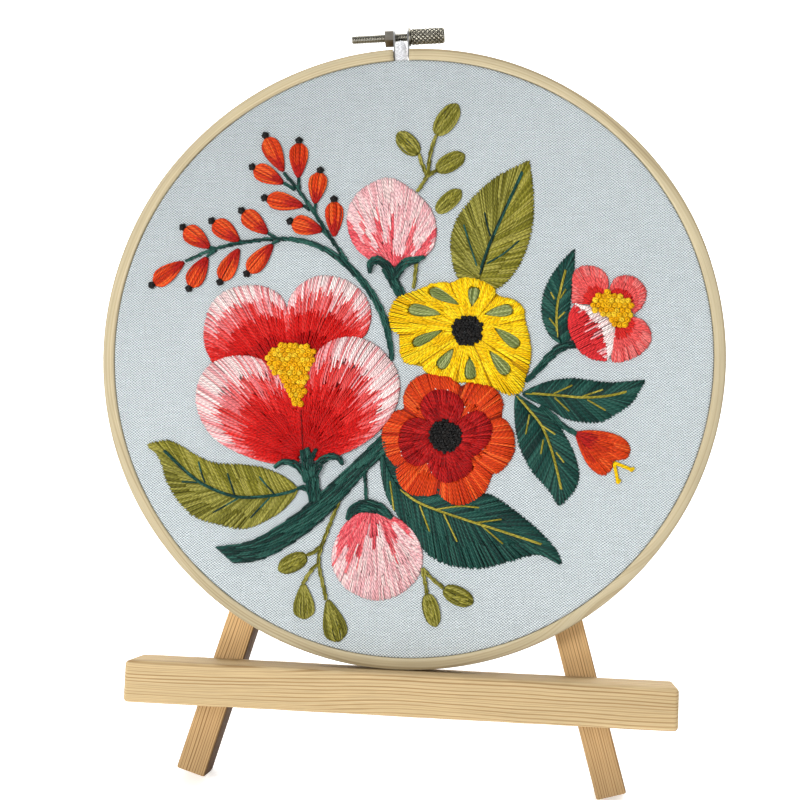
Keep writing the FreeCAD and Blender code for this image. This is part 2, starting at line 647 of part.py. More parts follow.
def top_crossbar():
    body = new_body("TopCrossbar")
    profile = new_sketch(body, "CrossbarProfile", "YZ_Plane")
    low, high = "Size.crossbar_rise", "Size.crossbar_rise + Size.crossbar_thickness"
    front = "Size.hoop_height + Size.leg_depth"
    back = f"{front} + Size.crossbar_depth"
    outline(profile, [(front, low), (back, low), (back, high), (front, high)])
    feature(body, "Pad", "CrossbarPad", profile, Length="Size.crossbar_length", Midplane=True)
    ends = size("crossbar_length") / 2
    eased(body, "CrossbarEdges", "Size.bar_round",
          lambda edge: is_long_edge(edge) and all(abs(abs(v.X) - ends) < TINY for v in edge.Vertexes))
    body.Placement = STAND
    holes = screw_holes("Crossbar", bar_frames.values(), *FRAME_SCREW, "Size.bar_screw_length")
    holes += screw_holes("CrossbarHinge", frame_screw_frames, *HINGE_SCREW, "Size.small_length")
    return node(cut("CrossbarDrilled", body, holes), "top_crossbar")


def rear_leg():
    """Its upper end is cut to lie flat on the crossbar's back when open, which is the stop."""
    blank = box("RearBar", at(REAR, -size("leg_width") / 2, barrel, -rear_foot_run - SPARE_LENGTH),
                "Size.leg_width", "Size.leg_depth", f"{rear_foot_run + SPARE_LENGTH + SPARE_TOP}")
    trim = [f"{TRIM_SPAN}"] * 3
    stop = box("RearStop", at(PIN, -TRIM_SPAN / 2, -TRIM_SPAN, 0), *trim)
    bar_top = barrel + size("crossbar_thickness")
    top = box("RearTop", at(PIN, -TRIM_SPAN / 2, -TRIM_SPAN / 2, bar_top), *trim)
    holes = screw_holes("RearHinge", leg_screw_frames, *HINGE_SCREW, "Size.small_length")
    return node(cut("RearLeg", blank, holes + [stop, top, floor_block("RearFloor")]), "rear_leg")


# ---------------------------------------------------------------- hinge


def hinge_leaf(prefix, frame, toward, spans):
    """A plate and its knuckles. toward is the direction of the plate from the pin, -Y or -Z of frame."""
    half = size("hinge_width") / 2
    reach, thick = size("hinge_reach"), size("hinge_leaf")
    if toward == "front":
        plate = box(prefix + "Plate", at(frame, -half, -reach, barrel - thick),
                    "Size.hinge_width", "Size.hinge_reach", "Size.hinge_leaf")
    else:
        plate = box(prefix + "Plate", at(frame, -half, barrel - thick, -reach),
                    "Size.hinge_width", "Size.hinge_leaf", "Size.hinge_reach")
    knuckles = [rod(f"{prefix}Knuckle{number}", at(frame, start, 0, 0, RIGHT_Z), "Size.hinge_barrel",
                    f"{end - start}")
                for number, (start, end) in enumerate(spans)]
    return plate, knuckles


def hinge():
    """Two leaves with interleaved knuckles, and the pin through them."""
    half, knuckle, gap = size("hinge_width") / 2, size("knuckle"), size("knuckle_gap")
    middle = knuckle / 2
    outer_spans = [(-half, -middle), (middle, half)]
    inner_span = [(-middle + gap, middle - gap)]
    layout = (("hinge_front_leaf", PIN, "front", outer_spans, inner_span, frame_screw_frames),
              ("hinge_rear_leaf", REAR, "rear", inner_span, outer_spans, leg_screw_frames))
    for label, frame, toward, own, other, screw_frames in layout:
        prefix = label.title().replace("_", "")
        plate, knuckles = hinge_leaf(prefix, frame, toward, own)
        bore = rod(prefix + "Bore", at(frame, -half - MARGIN, 0, 0, RIGHT_Z),
                   "Size.pin_radius + Size.pin_slip", f"Size.hinge_width + 2 * {MARGIN}")
        rooms = [rod(f"{prefix}Room{number}", at(frame, start - gap, 0, 0, RIGHT_Z),
                     "Size.hinge_barrel + Size.pin_slip", f"{end - start + 2 * gap}")
                 for number, (start, end) in enumerate(other)]
        holes = screw_holes(prefix, screw_frames, *HINGE_SCREW, "Size.small_length")
        leaf = cut(prefix, joined(prefix + "Whole", [plate] + knuckles), [bore] + rooms + holes)
        node(leaf, label)
    node(rod("HingePin", at(PIN, -half - size("pin_proud"), 0, 0, RIGHT_Z), "Size.pin_radius",
             "Size.hinge_width + 2 * Size.pin_proud"), "hinge_pin")


# ---------------------------------------------------------------- the whole object

outer_ring()
inner_ring()
linen_face()
linen_edge()
embroidery()
bracket("left_bracket", -1)
bracket("right_bracket", 1)
bracket_brads()
thumb_screw()
clamp_nut()
screw_washer()
ledge()
front_leg("left_front_leg", -1)
front_leg("right_front_leg", 1)
top_crossbar()
rear_leg()
hinge()
screws("ledge_screws", ledge_frames.values(), *FRAME_SCREW, "Size.ledge_screw_length")
screws("crossbar_screws", bar_frames.values(), *FRAME_SCREW, "Size.bar_screw_length")
screws("hinge_frame_screws", frame_screw_frames, *HINGE_SCREW, "Size.small_length")
screws("hinge_leg_screws", leg_screw_frames, *HINGE_SCREW, "Size.small_length")

doc.recompute()

for thing in doc.Objects:
    if {"Invalid", "Error"} & set(thing.State):
        raise RuntimeError(f"{thing.Name} failed: {thing.State}")
for thing in NODES:
    if thing.Shape.isNull() or not thing.Shape.isValid() or not thing.Shape.Solids:
        raise RuntimeError(f"{thing.Label} has no valid shape")

os.makedirs("parts", exist_ok=True)
for thing in NODES:
    thing.Shape.exportStep(f"parts/{thing.Label}.step")
    print(f"{thing.Label}: {len(thing.Shape.Solids)} solids, {thing.Shape.Volume:.1f} mm3")
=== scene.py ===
import json
import math
import random

import bmesh
import bpy
import numpy as np
from mathutils import Matrix, Vector, noise

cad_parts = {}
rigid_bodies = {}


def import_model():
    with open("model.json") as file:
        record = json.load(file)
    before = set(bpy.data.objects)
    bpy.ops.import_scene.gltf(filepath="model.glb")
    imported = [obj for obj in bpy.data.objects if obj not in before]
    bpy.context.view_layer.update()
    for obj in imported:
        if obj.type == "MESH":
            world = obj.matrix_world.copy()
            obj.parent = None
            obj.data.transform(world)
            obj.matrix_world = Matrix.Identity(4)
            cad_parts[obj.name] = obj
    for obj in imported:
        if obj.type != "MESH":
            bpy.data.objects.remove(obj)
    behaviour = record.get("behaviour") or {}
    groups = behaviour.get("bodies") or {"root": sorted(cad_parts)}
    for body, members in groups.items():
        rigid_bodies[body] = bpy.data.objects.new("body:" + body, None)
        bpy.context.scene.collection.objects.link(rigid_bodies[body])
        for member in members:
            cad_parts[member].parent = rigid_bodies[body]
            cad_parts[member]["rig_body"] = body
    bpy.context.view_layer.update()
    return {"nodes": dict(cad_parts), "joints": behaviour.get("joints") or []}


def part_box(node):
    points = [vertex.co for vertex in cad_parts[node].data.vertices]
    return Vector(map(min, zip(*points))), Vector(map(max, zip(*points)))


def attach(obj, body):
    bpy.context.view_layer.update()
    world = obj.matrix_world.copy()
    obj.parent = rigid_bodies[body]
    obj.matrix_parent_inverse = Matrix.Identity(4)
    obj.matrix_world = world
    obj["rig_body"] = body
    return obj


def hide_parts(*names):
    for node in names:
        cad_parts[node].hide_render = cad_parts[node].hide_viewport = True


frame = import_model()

# An embroidery hoop on a small wooden easel. Lengths are in millimetres unless a name says metres.
# The hoop has its own layout: x to the right, up along its face, and out towards the viewer, with zero
# at the ring's centre in its front plane. placed() turns that into the frame's metres.

MM = 0.001
JOINTS = {joint["name"]: joint for joint in frame["joints"]}
UP = Vector(JOINTS["hoop_lift"]["axis"]).normalized()
OUT = Vector(JOINTS["inner_ring_release"]["axis"]).normalized()
RIGHT = UP.cross(OUT)
SCREW_AXIS = Vector(JOINTS["clamp_screw_travel"]["axis"]).normalized()
SCREW_POS = Vector(JOINTS["clamp_screw_turn"]["pos_m"])

HOOP_DEPTH = 10
RING_OUTER, RING_BORE = 103.5, 99.7         # radii of the outer ring
INNER_RADIUS, INNER_BORE = 99.15, 95.65     # radii of the inner ring
LINEN_OUT = -0.6                            # the linen's front, behind the ring's
LINEN_THICK = 0.5
CLAMP_ANGLE = math.acos(SCREW_AXIS.dot(RIGHT))      # the outer ring's gap, left of its top
SPLIT_HALF = 2.7                            # half of that gap
LEG_SPREAD = 16.1                           # degrees from a front leg to the middle line
TURN = 2 * math.pi

ring_low, ring_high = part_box("outer_ring")
CENTRE = (ring_low + ring_high) / 2 + OUT * (HOOP_DEPTH / 2 * MM)
TO_WORLD = np.array([RIGHT, UP, OUT]) * MM


def placed(points):
    """Hoop layout to the frame's metres."""
    return np.asarray(points, float) @ TO_WORLD + np.array(CENTRE)


def linear(red, green, blue):
    """A colour of 0 to 255 as linear light, with full alpha."""
    parts = [c / 255 / 12.92 if c <= 10 else ((c / 255 + 0.055) / 1.055) ** 2.4 for c in (red, green, blue)]
    return (*parts, 1.0)


def level(value):
    """A grey with full alpha."""
    return (value, value, value, 1)


def left_of(run):
    """The unit vector to the left of a run."""
    return np.array([-run[1], run[0]]) / np.linalg.norm(run)


# ---------------------------------------------------------------- camera, light and floor

CAMERA_LENS, CAMERA_SENSOR, CAMERA_NEAR = 64.35, 36, 0.01
CAMERA_PLACE = (42.15, -51.64, 468.54)              # these three in the hoop's layout
CAMERA_AHEAD = (-0.09383, 0.07672, -0.99263)
CAMERA_ABOVE = (-0.03326, 0.99623, 0.08014)
WORLD_LIGHT = 0.27
AREA_LIGHTS = [     # name, place, target, size, power
    ("key", (-0.6, -0.85, 0.42), (0, 0, 0.14), 0.4, 7.0),
    ("fill", (-0.1, -1.15, 0.1), (0, 0, 0.1), 0.5, 2.4),
    ("top", (0, 0.05, 1.3), (0, 0.05, 0), 0.9, 8.8),
    ("back", (0.2, 1.0, 0.9), (0, 0.3, 0), 0.9, 6)]
FLOOR_HALF, FLOOR_FRONT, FLOOR_BACK, SWEEP_RADIUS, SWEEP_TOP = 3, -2.0, 1.2, 0.5, 3.0


def linked(name, data):
    """An object in the scene."""
    made = bpy.data.objects.new(name, data)
    bpy.context.scene.collection.objects.link(made)
    return made


def add_camera():
    data = bpy.data.cameras.new("camera")
    data.lens, data.sensor_width, data.clip_start = CAMERA_LENS, CAMERA_SENSOR, CAMERA_NEAR
    camera = linked("camera", data)
    ahead, above = (RIGHT * right + UP * up + OUT * out for right, up, out in (CAMERA_AHEAD, CAMERA_ABOVE))
    side = ahead.cross(above).normalized()
    turned = Matrix((side, side.cross(ahead), -ahead)).transposed()
    camera.matrix_world = Matrix.Translation(placed(CAMERA_PLACE)) @ turned.to_4x4()
    bpy.context.scene.camera = camera


def add_area(name, place, target, size, power):
    data = bpy.data.lights.new(name, "AREA")
    data.size, data.energy = size, power
    lamp = linked(name, data)
    lamp.location = place
    lamp.rotation_euler = (Vector(target) - Vector(place)).to_track_quat("-Z", "Y").to_euler()


def add_world(strength):
    world = bpy.data.worlds.new("studio")
    world.use_nodes = True
    tree = world.node_tree
    plain = tree.nodes["Background"]
    plain.inputs["Color"].default_value = (0.96, 0.98, 1.0, 1)
    plain.inputs["Strength"].default_value = strength
    seen = tree.nodes.new("ShaderNodeBackground")
    seen.inputs["Color"].default_value = (1, 1, 1, 1)
    path = tree.nodes.new("ShaderNodeLightPath")
    mix = tree.nodes.new("ShaderNodeMixShader")
    tree.links.new(path.outputs["Is Camera Ray"], mix.inputs[0])
    tree.links.new(plain.outputs[0], mix.inputs[1])
    tree.links.new(seen.outputs[0], mix.inputs[2])
    tree.links.new(mix.outputs[0], tree.nodes["World Output"].inputs[0])
    bpy.context.scene.world = world


# ---------------------------------------------------------------- materials


class Look:
    """A node material with a Principled shader, built up call by call."""

    def __init__(self, name, roughness, metallic=0.0, specular=0.5):
        self.material = bpy.data.materials.new(name)
        self.material.use_nodes = True
        self.tree = self.material.node_tree
        self.shader = self.tree.nodes["Principled BSDF"]
        self.give(self.shader, Roughness=roughness, Metallic=metallic, **{"Specular IOR Level": specular})

    def give(self, node, *ordered, **named):
        """Sets a node's inputs, by number or by name, to plain values or to other nodes' outputs."""
        for index, value in list(enumerate(ordered)) + list(named.items()):
            self.connect(node.inputs[index], value)
        return node

    def connect(self, socket, value):
        if isinstance(value, bpy.types.NodeSocket):
            self.tree.links.new(value, socket)
        else:
            socket.default_value = value

    def node(self, kind, *ordered, setup=None, **named):
        node = self.tree.nodes.new("ShaderNode" + kind)
        for key, value in (setup or {}).items():
            setattr(node, key, value)
        return self.give(node, *ordered, **named)

    def attribute(self, name, output="Vector"):
        return self.node("Attribute", setup={"attribute_name": name}).outputs[output]

    def vector(self, operation, *values, output=0):
        return self.node("VectorMath", *values, setup={"operation": operation}).outputs[output]

    def scaled(self, vector, x, y, z):
        return self.vector("MULTIPLY", vector, (x, y, z))

    def wave(self, vector, scale, direction, **more):
        return self.node("TexWave", Vector=vector, Scale=scale, setup={"bands_direction": direction},
                         **more).outputs["Fac"]

    def noise(self, vector, scale, detail=2.0, roughness=0.5):
        return self.node("TexNoise", Vector=vector, Scale=scale, Detail=detail,
                         Roughness=roughness).outputs["Fac"]

    def math(self, operation, *values):
        return self.node("Math", *values, setup={"operation": operation}).outputs[0]

    def ramp(self, value, stops):
        node = self.node("ValToRGB", Fac=value)
        elements = node.color_ramp.elements
        while len(elements) < len(stops):
            elements.new(1.0)
        for element, (place, colour) in zip(elements, stops):
            element.position = place
            element.color = colour
        return node.outputs["Color"]

    def mixed(self, share, first, second, blend="MIX"):
        node = self.node("Mix", setup={"data_type": "RGBA", "blend_type": blend})
        for index, value in ((0, share), (6, first), (7, second)):
            self.connect(node.inputs[index], value)
        return node.outputs[2]

    def times(self, colour, *factors):
        for factor in factors:
            colour = self.mixed(1.0, colour, factor, "MULTIPLY")
        return colour

    def grey(self, value, low, high):
        """A value of 0 to 1 as a grey between two levels."""
        return self.ramp(value, [(0, level(low)), (1, level(high))])

    def bump(self, height, distance, strength=1.0):
        made = self.node("Bump", Height=height, Distance=distance, Strength=strength)
        self.tree.links.new(made.outputs[0], self.shader.inputs["Normal"])

    def done(self, colour):
        self.give(self.shader, **{"Base Color": colour})
        return self.material


def thread_look():
    """Stranded cotton. Tint holds a stitch's colour and painted shade, and grain runs along and around the
    thread.
    """
    look = Look("stranded_cotton", roughness=0.4, specular=0.16)
    tint, grain = look.attribute("tint", "Color"), look.attribute("grain")
    ply = look.wave(look.scaled(grain, 1.0, 1.6, 0), 0.42, "DIAGONAL", Distortion=0.8)
    fibre = look.noise(look.scaled(grain, 1.5, 9, 1), 1.0, 3)
    gloss = look.ramp(tint, [(0.0, level(0.22)), (0.045, level(0.09))])     # black thread shines most
    look.give(look.shader, **{"Specular IOR Level": gloss})
    look.bump(look.math("ADD", ply, look.math("MULTIPLY", fibre, 0.5)), 0.00008)
    return look.done(look.times(tint, look.grey(ply, 0.62, 1.14), look.grey(fibre, 0.64, 1.3)))


def linen_look():
    """Plain weave: two sets of yarns, each over and under in turn, with slubs."""
    look = Look("linen", roughness=0.85, specular=0.15)
    grain = look.attribute("grain")
    wander = look.node("TexNoise", Vector=grain, Scale=0.35, Detail=2.0).outputs["Color"]
    moved = look.vector("ADD", grain, look.scaled(wander, 0.9, 0.7, 0))
    warp, weft = (look.math("SUBTRACT", look.wave(moved, scale, way), 0.5)
                  for scale, way in ((0.29, "X"), (0.37, "Y")))
    height = look.math("ADD", look.math("MULTIPLY", warp, look.math("MULTIPLY", weft, 2.0)), 0.5)
    slub = look.noise(look.scaled(grain, 0.12, 2.6, 1), 1.0, 3)
    slub2 = look.noise(look.scaled(grain, 2.6, 0.12, 1), 1.0, 3)
    cloud = look.noise(grain, 0.02, 3)
    yarn = look.ramp(height, [(0.1, linear(112, 121, 126)), (0.5, linear(184, 193, 196)),
                              (0.9, linear(220, 224, 224))])
    # tint carries the cloth's painted shade
    colour = look.times(yarn, look.grey(slub, 0.8, 1.17), look.grey(slub2, 0.86, 1.12),
                        look.grey(cloud, 0.99, 1.05), look.attribute("tint", "Color"))
    look.bump(look.math("ADD", height, look.math("MULTIPLY", slub, 0.8)), 0.00018, 0.9)
    return look.done(colour)


def wood_look(name, pale, mid, dark, ring_scale, streak, line_share, shaded_towards=None):
    """Sawn softwood or bamboo. The grain attribute runs along the wood, then across it twice.

    Faces that point towards the given direction get painted shade, a dark brown."""
    look = Look(name, roughness=0.7, specular=0.1)
    grain = look.attribute("grain")
    bent = look.noise(look.scaled(grain, 0.008, 0.05, 0.05), 1.0, 2)
    shift = look.node("CombineXYZ", 0.0, look.math("MULTIPLY", bent, 7.0), look.math("MULTIPLY", bent, 4.0))
    moved = look.vector("ADD", grain, shift.outputs[0])
    lines = look.wave(look.scaled(moved, 0.01, 1.0, 0.35), ring_scale, "Y", Distortion=2.5, Detail=2.0)
    broad = look.noise(look.scaled(moved, 0.003, 0.5, 0.5), 1.0, 2, 0.6)
    rings = look.math("ADD", look.math("MULTIPLY", lines, line_share),
                      look.math("MULTIPLY", broad, 1 - line_share))
    fibre = look.noise(look.scaled(grain, 0.06, 4.5, 4.5), 1.0, 3, 0.65)
    patch = look.noise(look.scaled(grain, 0.02, 0.12, 0.12), 1.0, 2)
    pale, mid, dark = (linear(*shade) for shade in (pale, mid, dark))
    colour = look.times(look.ramp(rings, [(0.28, dark), (0.42, mid), (0.60, pale), (0.74, mid)]),
                        look.grey(fibre, 1 - streak * 0.45, 1 + streak * 0.32),
                        look.grey(patch, 0.88, 1.10),
                        look.attribute("tint", "Color"))
    # painted shade: faces turned towards this direction darken to brown
    if shaded_towards is not None:
        normal = look.node("NewGeometry").outputs["True Normal"]
        facing = look.vector("DOT_PRODUCT", normal, tuple(shaded_towards), output="Value")
        colour = look.mixed(look.ramp(facing, [(0.5, level(0)), (0.75, level(0.92))]), colour,
                            linear(58, 34, 16))
    look.bump(look.math("ADD", fibre, look.math("MULTIPLY", rings, 0.4)), 0.00012, 0.5)
    return look.done(colour)


def metal_look(name, colour, dark, roughness, scale=240.0, shaded_grooves=False):
    """Worn plated metal; reads the object's own metres, and the painted shade of a turned piece's grooves."""
    look = Look(name, roughness=roughness, metallic=1.0)
    where = look.node("TexCoord").outputs["Object"]
    wear = look.noise(where, scale, 3, 0.6)
    fine = look.noise(where, scale * 6, 3, 0.7)
    tone = look.ramp(wear, [(0.2, (*dark, 1)), (0.55, (*colour, 1))])
    # painted shade in the grooves of turned pieces
    if shaded_grooves:
        tone = look.times(tone, look.attribute("tint", "Color"))
    look.give(look.shader, Roughness=look.grey(fine, roughness * 0.7, roughness * 1.4))
    look.bump(fine, 0.00001, 0.2)
    return look.done(tone)


COTTON = thread_look()
LINEN = linen_look()
BAMBOO = wood_look("bamboo", (190, 177, 147), (178, 163, 131), (154, 137, 105), 0.34, 0.5, 0.14)
PINE = wood_look("pine", (193, 172, 134), (181, 157, 117), (155, 127, 88), 0.3, 0.75, 0.42)
LEG_PINE = wood_look("leg_pine", (200, 169, 125), (181, 149, 106), (148, 116, 78), 0.34, 0.9, 0.5)
# The left leg: painted shade on its right-facing side.
LEFT_LEG_PINE = wood_look("left_leg_pine", (198, 167, 124), (178, 146, 103), (140, 109, 72), 0.34, 0.9, 0.5,
                          shaded_towards=RIGHT)
NICKEL = metal_look("nickel", (0.46, 0.46, 0.46), (0.34, 0.34, 0.33), 0.34, 120.0)
GUNMETAL = metal_look("gunmetal", (0.37, 0.35, 0.29), (0.22, 0.2, 0.15), 0.24, shaded_grooves=True)
AGED_NICKEL = metal_look("aged_nickel", (0.36, 0.33, 0.28), (0.2, 0.13, 0.08), 0.32, 160.0)
WASHER = metal_look("dark_nickel", (0.3, 0.28, 0.23), (0.15, 0.14, 0.11), 0.3)
BRASS = metal_look("brass", (0.80, 0.60, 0.26), (0.55, 0.38, 0.14), 0.3)
ZINC = metal_look("zinc", (0.52, 0.50, 0.42), (0.3, 0.28, 0.22), 0.35)

CAD_LOOKS = {
    "left_bracket": NICKEL, "right_bracket": NICKEL, "bracket_brads": NICKEL, "clamp_nut": AGED_NICKEL,
    "screw_washer": WASHER, "hinge_front_leaf": BRASS, "hinge_rear_leaf": BRASS, "hinge_pin": BRASS,
    "ledge_screws": ZINC, "crossbar_screws": ZINC, "hinge_frame_screws": BRASS, "hinge_leg_screws": BRASS}


# ---------------------------------------------------------------- meshes


def add_piece(name, verts, faces, body, look, replaced=(), grain=None, tint=None):
    """A mesh in the frame's metres that rides on a body."""
    mesh = bpy.data.meshes.new(name)
    mesh.from_pydata(np.asarray(verts).tolist(), [], faces)
    mesh.polygons.foreach_set("use_smooth", [True] * len(mesh.polygons))
    count = len(mesh.vertices)
    grain = np.zeros((count, 3)) if grain is None else np.asarray(grain, float)
    tint = np.ones((count, 4)) if tint is None else np.asarray(tint, float)
    mesh.attributes.new("grain", "FLOAT_VECTOR", "POINT").data.foreach_set("vector", grain.ravel())
    mesh.attributes.new("tint", "FLOAT_COLOR", "POINT").data.foreach_set("color", tint.ravel())
    mesh.materials.append(look)
    made = linked(name, mesh)
    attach(made, body)
    if replaced:
        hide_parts(*replaced)
    return made


def grid_faces(rows, columns, first=0, closed=True):
    """Quads between rows of points; closed joins each row's last point to its first."""
    last = columns if closed else columns - 1
    return [(first + r * columns + c, first + r * columns + (c + 1) % columns,
             first + (r + 1) * columns + (c + 1) % columns, first + (r + 1) * columns + c)
            for r in range(rows - 1) for c in range(last)]


def end_caps(rows, columns, first=0):
    """The two faces that close a tube of rows of points."""
    last = first + (rows - 1) * columns
    return [tuple(range(first + columns - 1, first - 1, -1)), tuple(range(last, last + columns))]


class Line:
    """A smooth line through points, read by the share of its length."""

    def __init__(self, points, closed=False):
        knots = np.array(points, float)
        if closed:
            padded = np.vstack([knots[-1:], knots, knots[:2]])
        else:
            padded = np.vstack([2 * knots[0] - knots[1], knots, 2 * knots[-1] - knots[-2]])
        share = np.linspace(0, 1, 10, endpoint=False)[:, None]
        dense = []
        for a, b, c, d in zip(padded, padded[1:], padded[2:], padded[3:]):
            dense.append(0.5 * (2 * b + (c - a) * share + (2 * a - 5 * b + 4 * c - d) * share ** 2
                                + (3 * b - a - 3 * c + d) * share ** 3))
        self.points = np.vstack(dense + [padded[-2:-1]])
        steps = np.linalg.norm(np.diff(self.points, axis=0), axis=1)
        self.length = steps.sum()
        self.reach = np.concatenate([[0], np.cumsum(steps)]) / self.length

    def at(self, share):
        return np.stack([np.interp(share, self.reach, self.points[:, k]) for k in (0, 1)], -1)

    def moved(self, offset):
        """The same line, offset to its left by lengths that are spread evenly along it."""
        tangent = np.gradient(self.points, axis=0)
        tangent /= np.linalg.norm(tangent, axis=1)[:, None] + 1e-9
        normal = np.stack([-tangent[:, 1], tangent[:, 0]], 1)
        offsets = np.interp(self.reach, np.linspace(0, 1, len(offset)), offset)
        made = Line.__new__(Line)
        made.points = self.points + normal * offsets[:, None]
        made.reach, made.length = self.reach, self.length
        return made


class Round:
    """A closed outline read by direction from its centre; share 0 to 1 is one turn from the right."""

    def __init__(self, centre, outline=None, radius=None):
        self.centre = np.array(centre, float)
        if outline:
            away = Line(outline, closed=True).points - self.centre
            angle = np.arctan2(away[:, 1], away[:, 0]) % TURN
            order = np.argsort(angle)
            self.angle, self.radius = angle[order], np.linalg.norm(away, axis=1)[order]
        else:
            self.angle, self.radius = np.array([0.0, 1.0]), np.array([radius, radius], float)

    def at(self, share):
        turn = np.asarray(share) * TURN % TURN
        radius = np.interp(turn, self.angle, self.radius, period=TURN)
        return self.centre + np.stack([np.cos(turn) * radius, np.sin(turn) * radius], -1)


def inside(outline, point):
    """Whether a point lies in a closed outline."""
    x, y = point
    hit = False
    for (ax, ay), (bx, by) in zip(outline, outline[1:] + outline[:1]):
        if (ay > y) != (by > y) and x < (bx - ax) * (y - ay) / (by - ay) + ax:
            hit = not hit
    return hit


def along_and_off(point, base, tip):
    """A point's share of the way from base to tip, and its distance from that line."""
    base, run = np.array(base), np.array(tip) - np.array(base)
    length = np.linalg.norm(run)
    return (np.dot(point - base, run) / length ** 2,
            abs(run[0] * (point - base)[1] - run[1] * (point - base)[0]) / length)


def with_middle(points):
    """Two points get a third between them, so that a smooth line can pass through."""
    return points if len(points) > 2 else [points[0], tuple(np.mean(points, axis=0)), points[1]]


def clear_runs(start, end, hole, parts=24):
    """The shares of a straight run that miss a hole, except for very short ones."""
    runs = []
    for part in range(parts):
        if hole(start + (end - start) * (part + 0.5) / parts):
            continue
        if runs and abs(runs[-1][1] - part / parts) < 1e-9:
            runs[-1][1] = (part + 1) / parts
        else:
            runs.append([part / parts, (part + 1) / parts])
    return [run for run in runs if run[1] - run[0] > 1.5 / parts]


# ---------------------------------------------------------------- stitches

THREAD = 0.66       # width of a laid thread
PITCH = 0.6         # between neighbouring threads
STEM_PITCH = 0.56   # between the rows of stem stitch
SIDES = 6           # of a thread's tube
UNDER = -0.08       # height of a stitch's ends, just in the linen
KNOT_TURNS, KNOT_STEPS = 2.3, 15
OVAL_SHARES = (0, 0.08, 0.25, 0.45, 0.65, 0.85, 0.96, 1)      # along an oval; half widths there follow
EGG = (0.2, 0.56, 0.88, 1.0, 0.99, 0.86, 0.66, 0.46)
TEARDROP = (0.1, 0.26, 0.56, 0.82, 0.98, 0.97, 0.78, 0.6)
DROP = (0.08, 0.24, 0.5, 0.76, 0.96, 1.0, 0.86, 0.7)
BLADE = (0.12, 0.3, 0.6, 0.85, 1.0, 0.98, 0.8, 0.62)


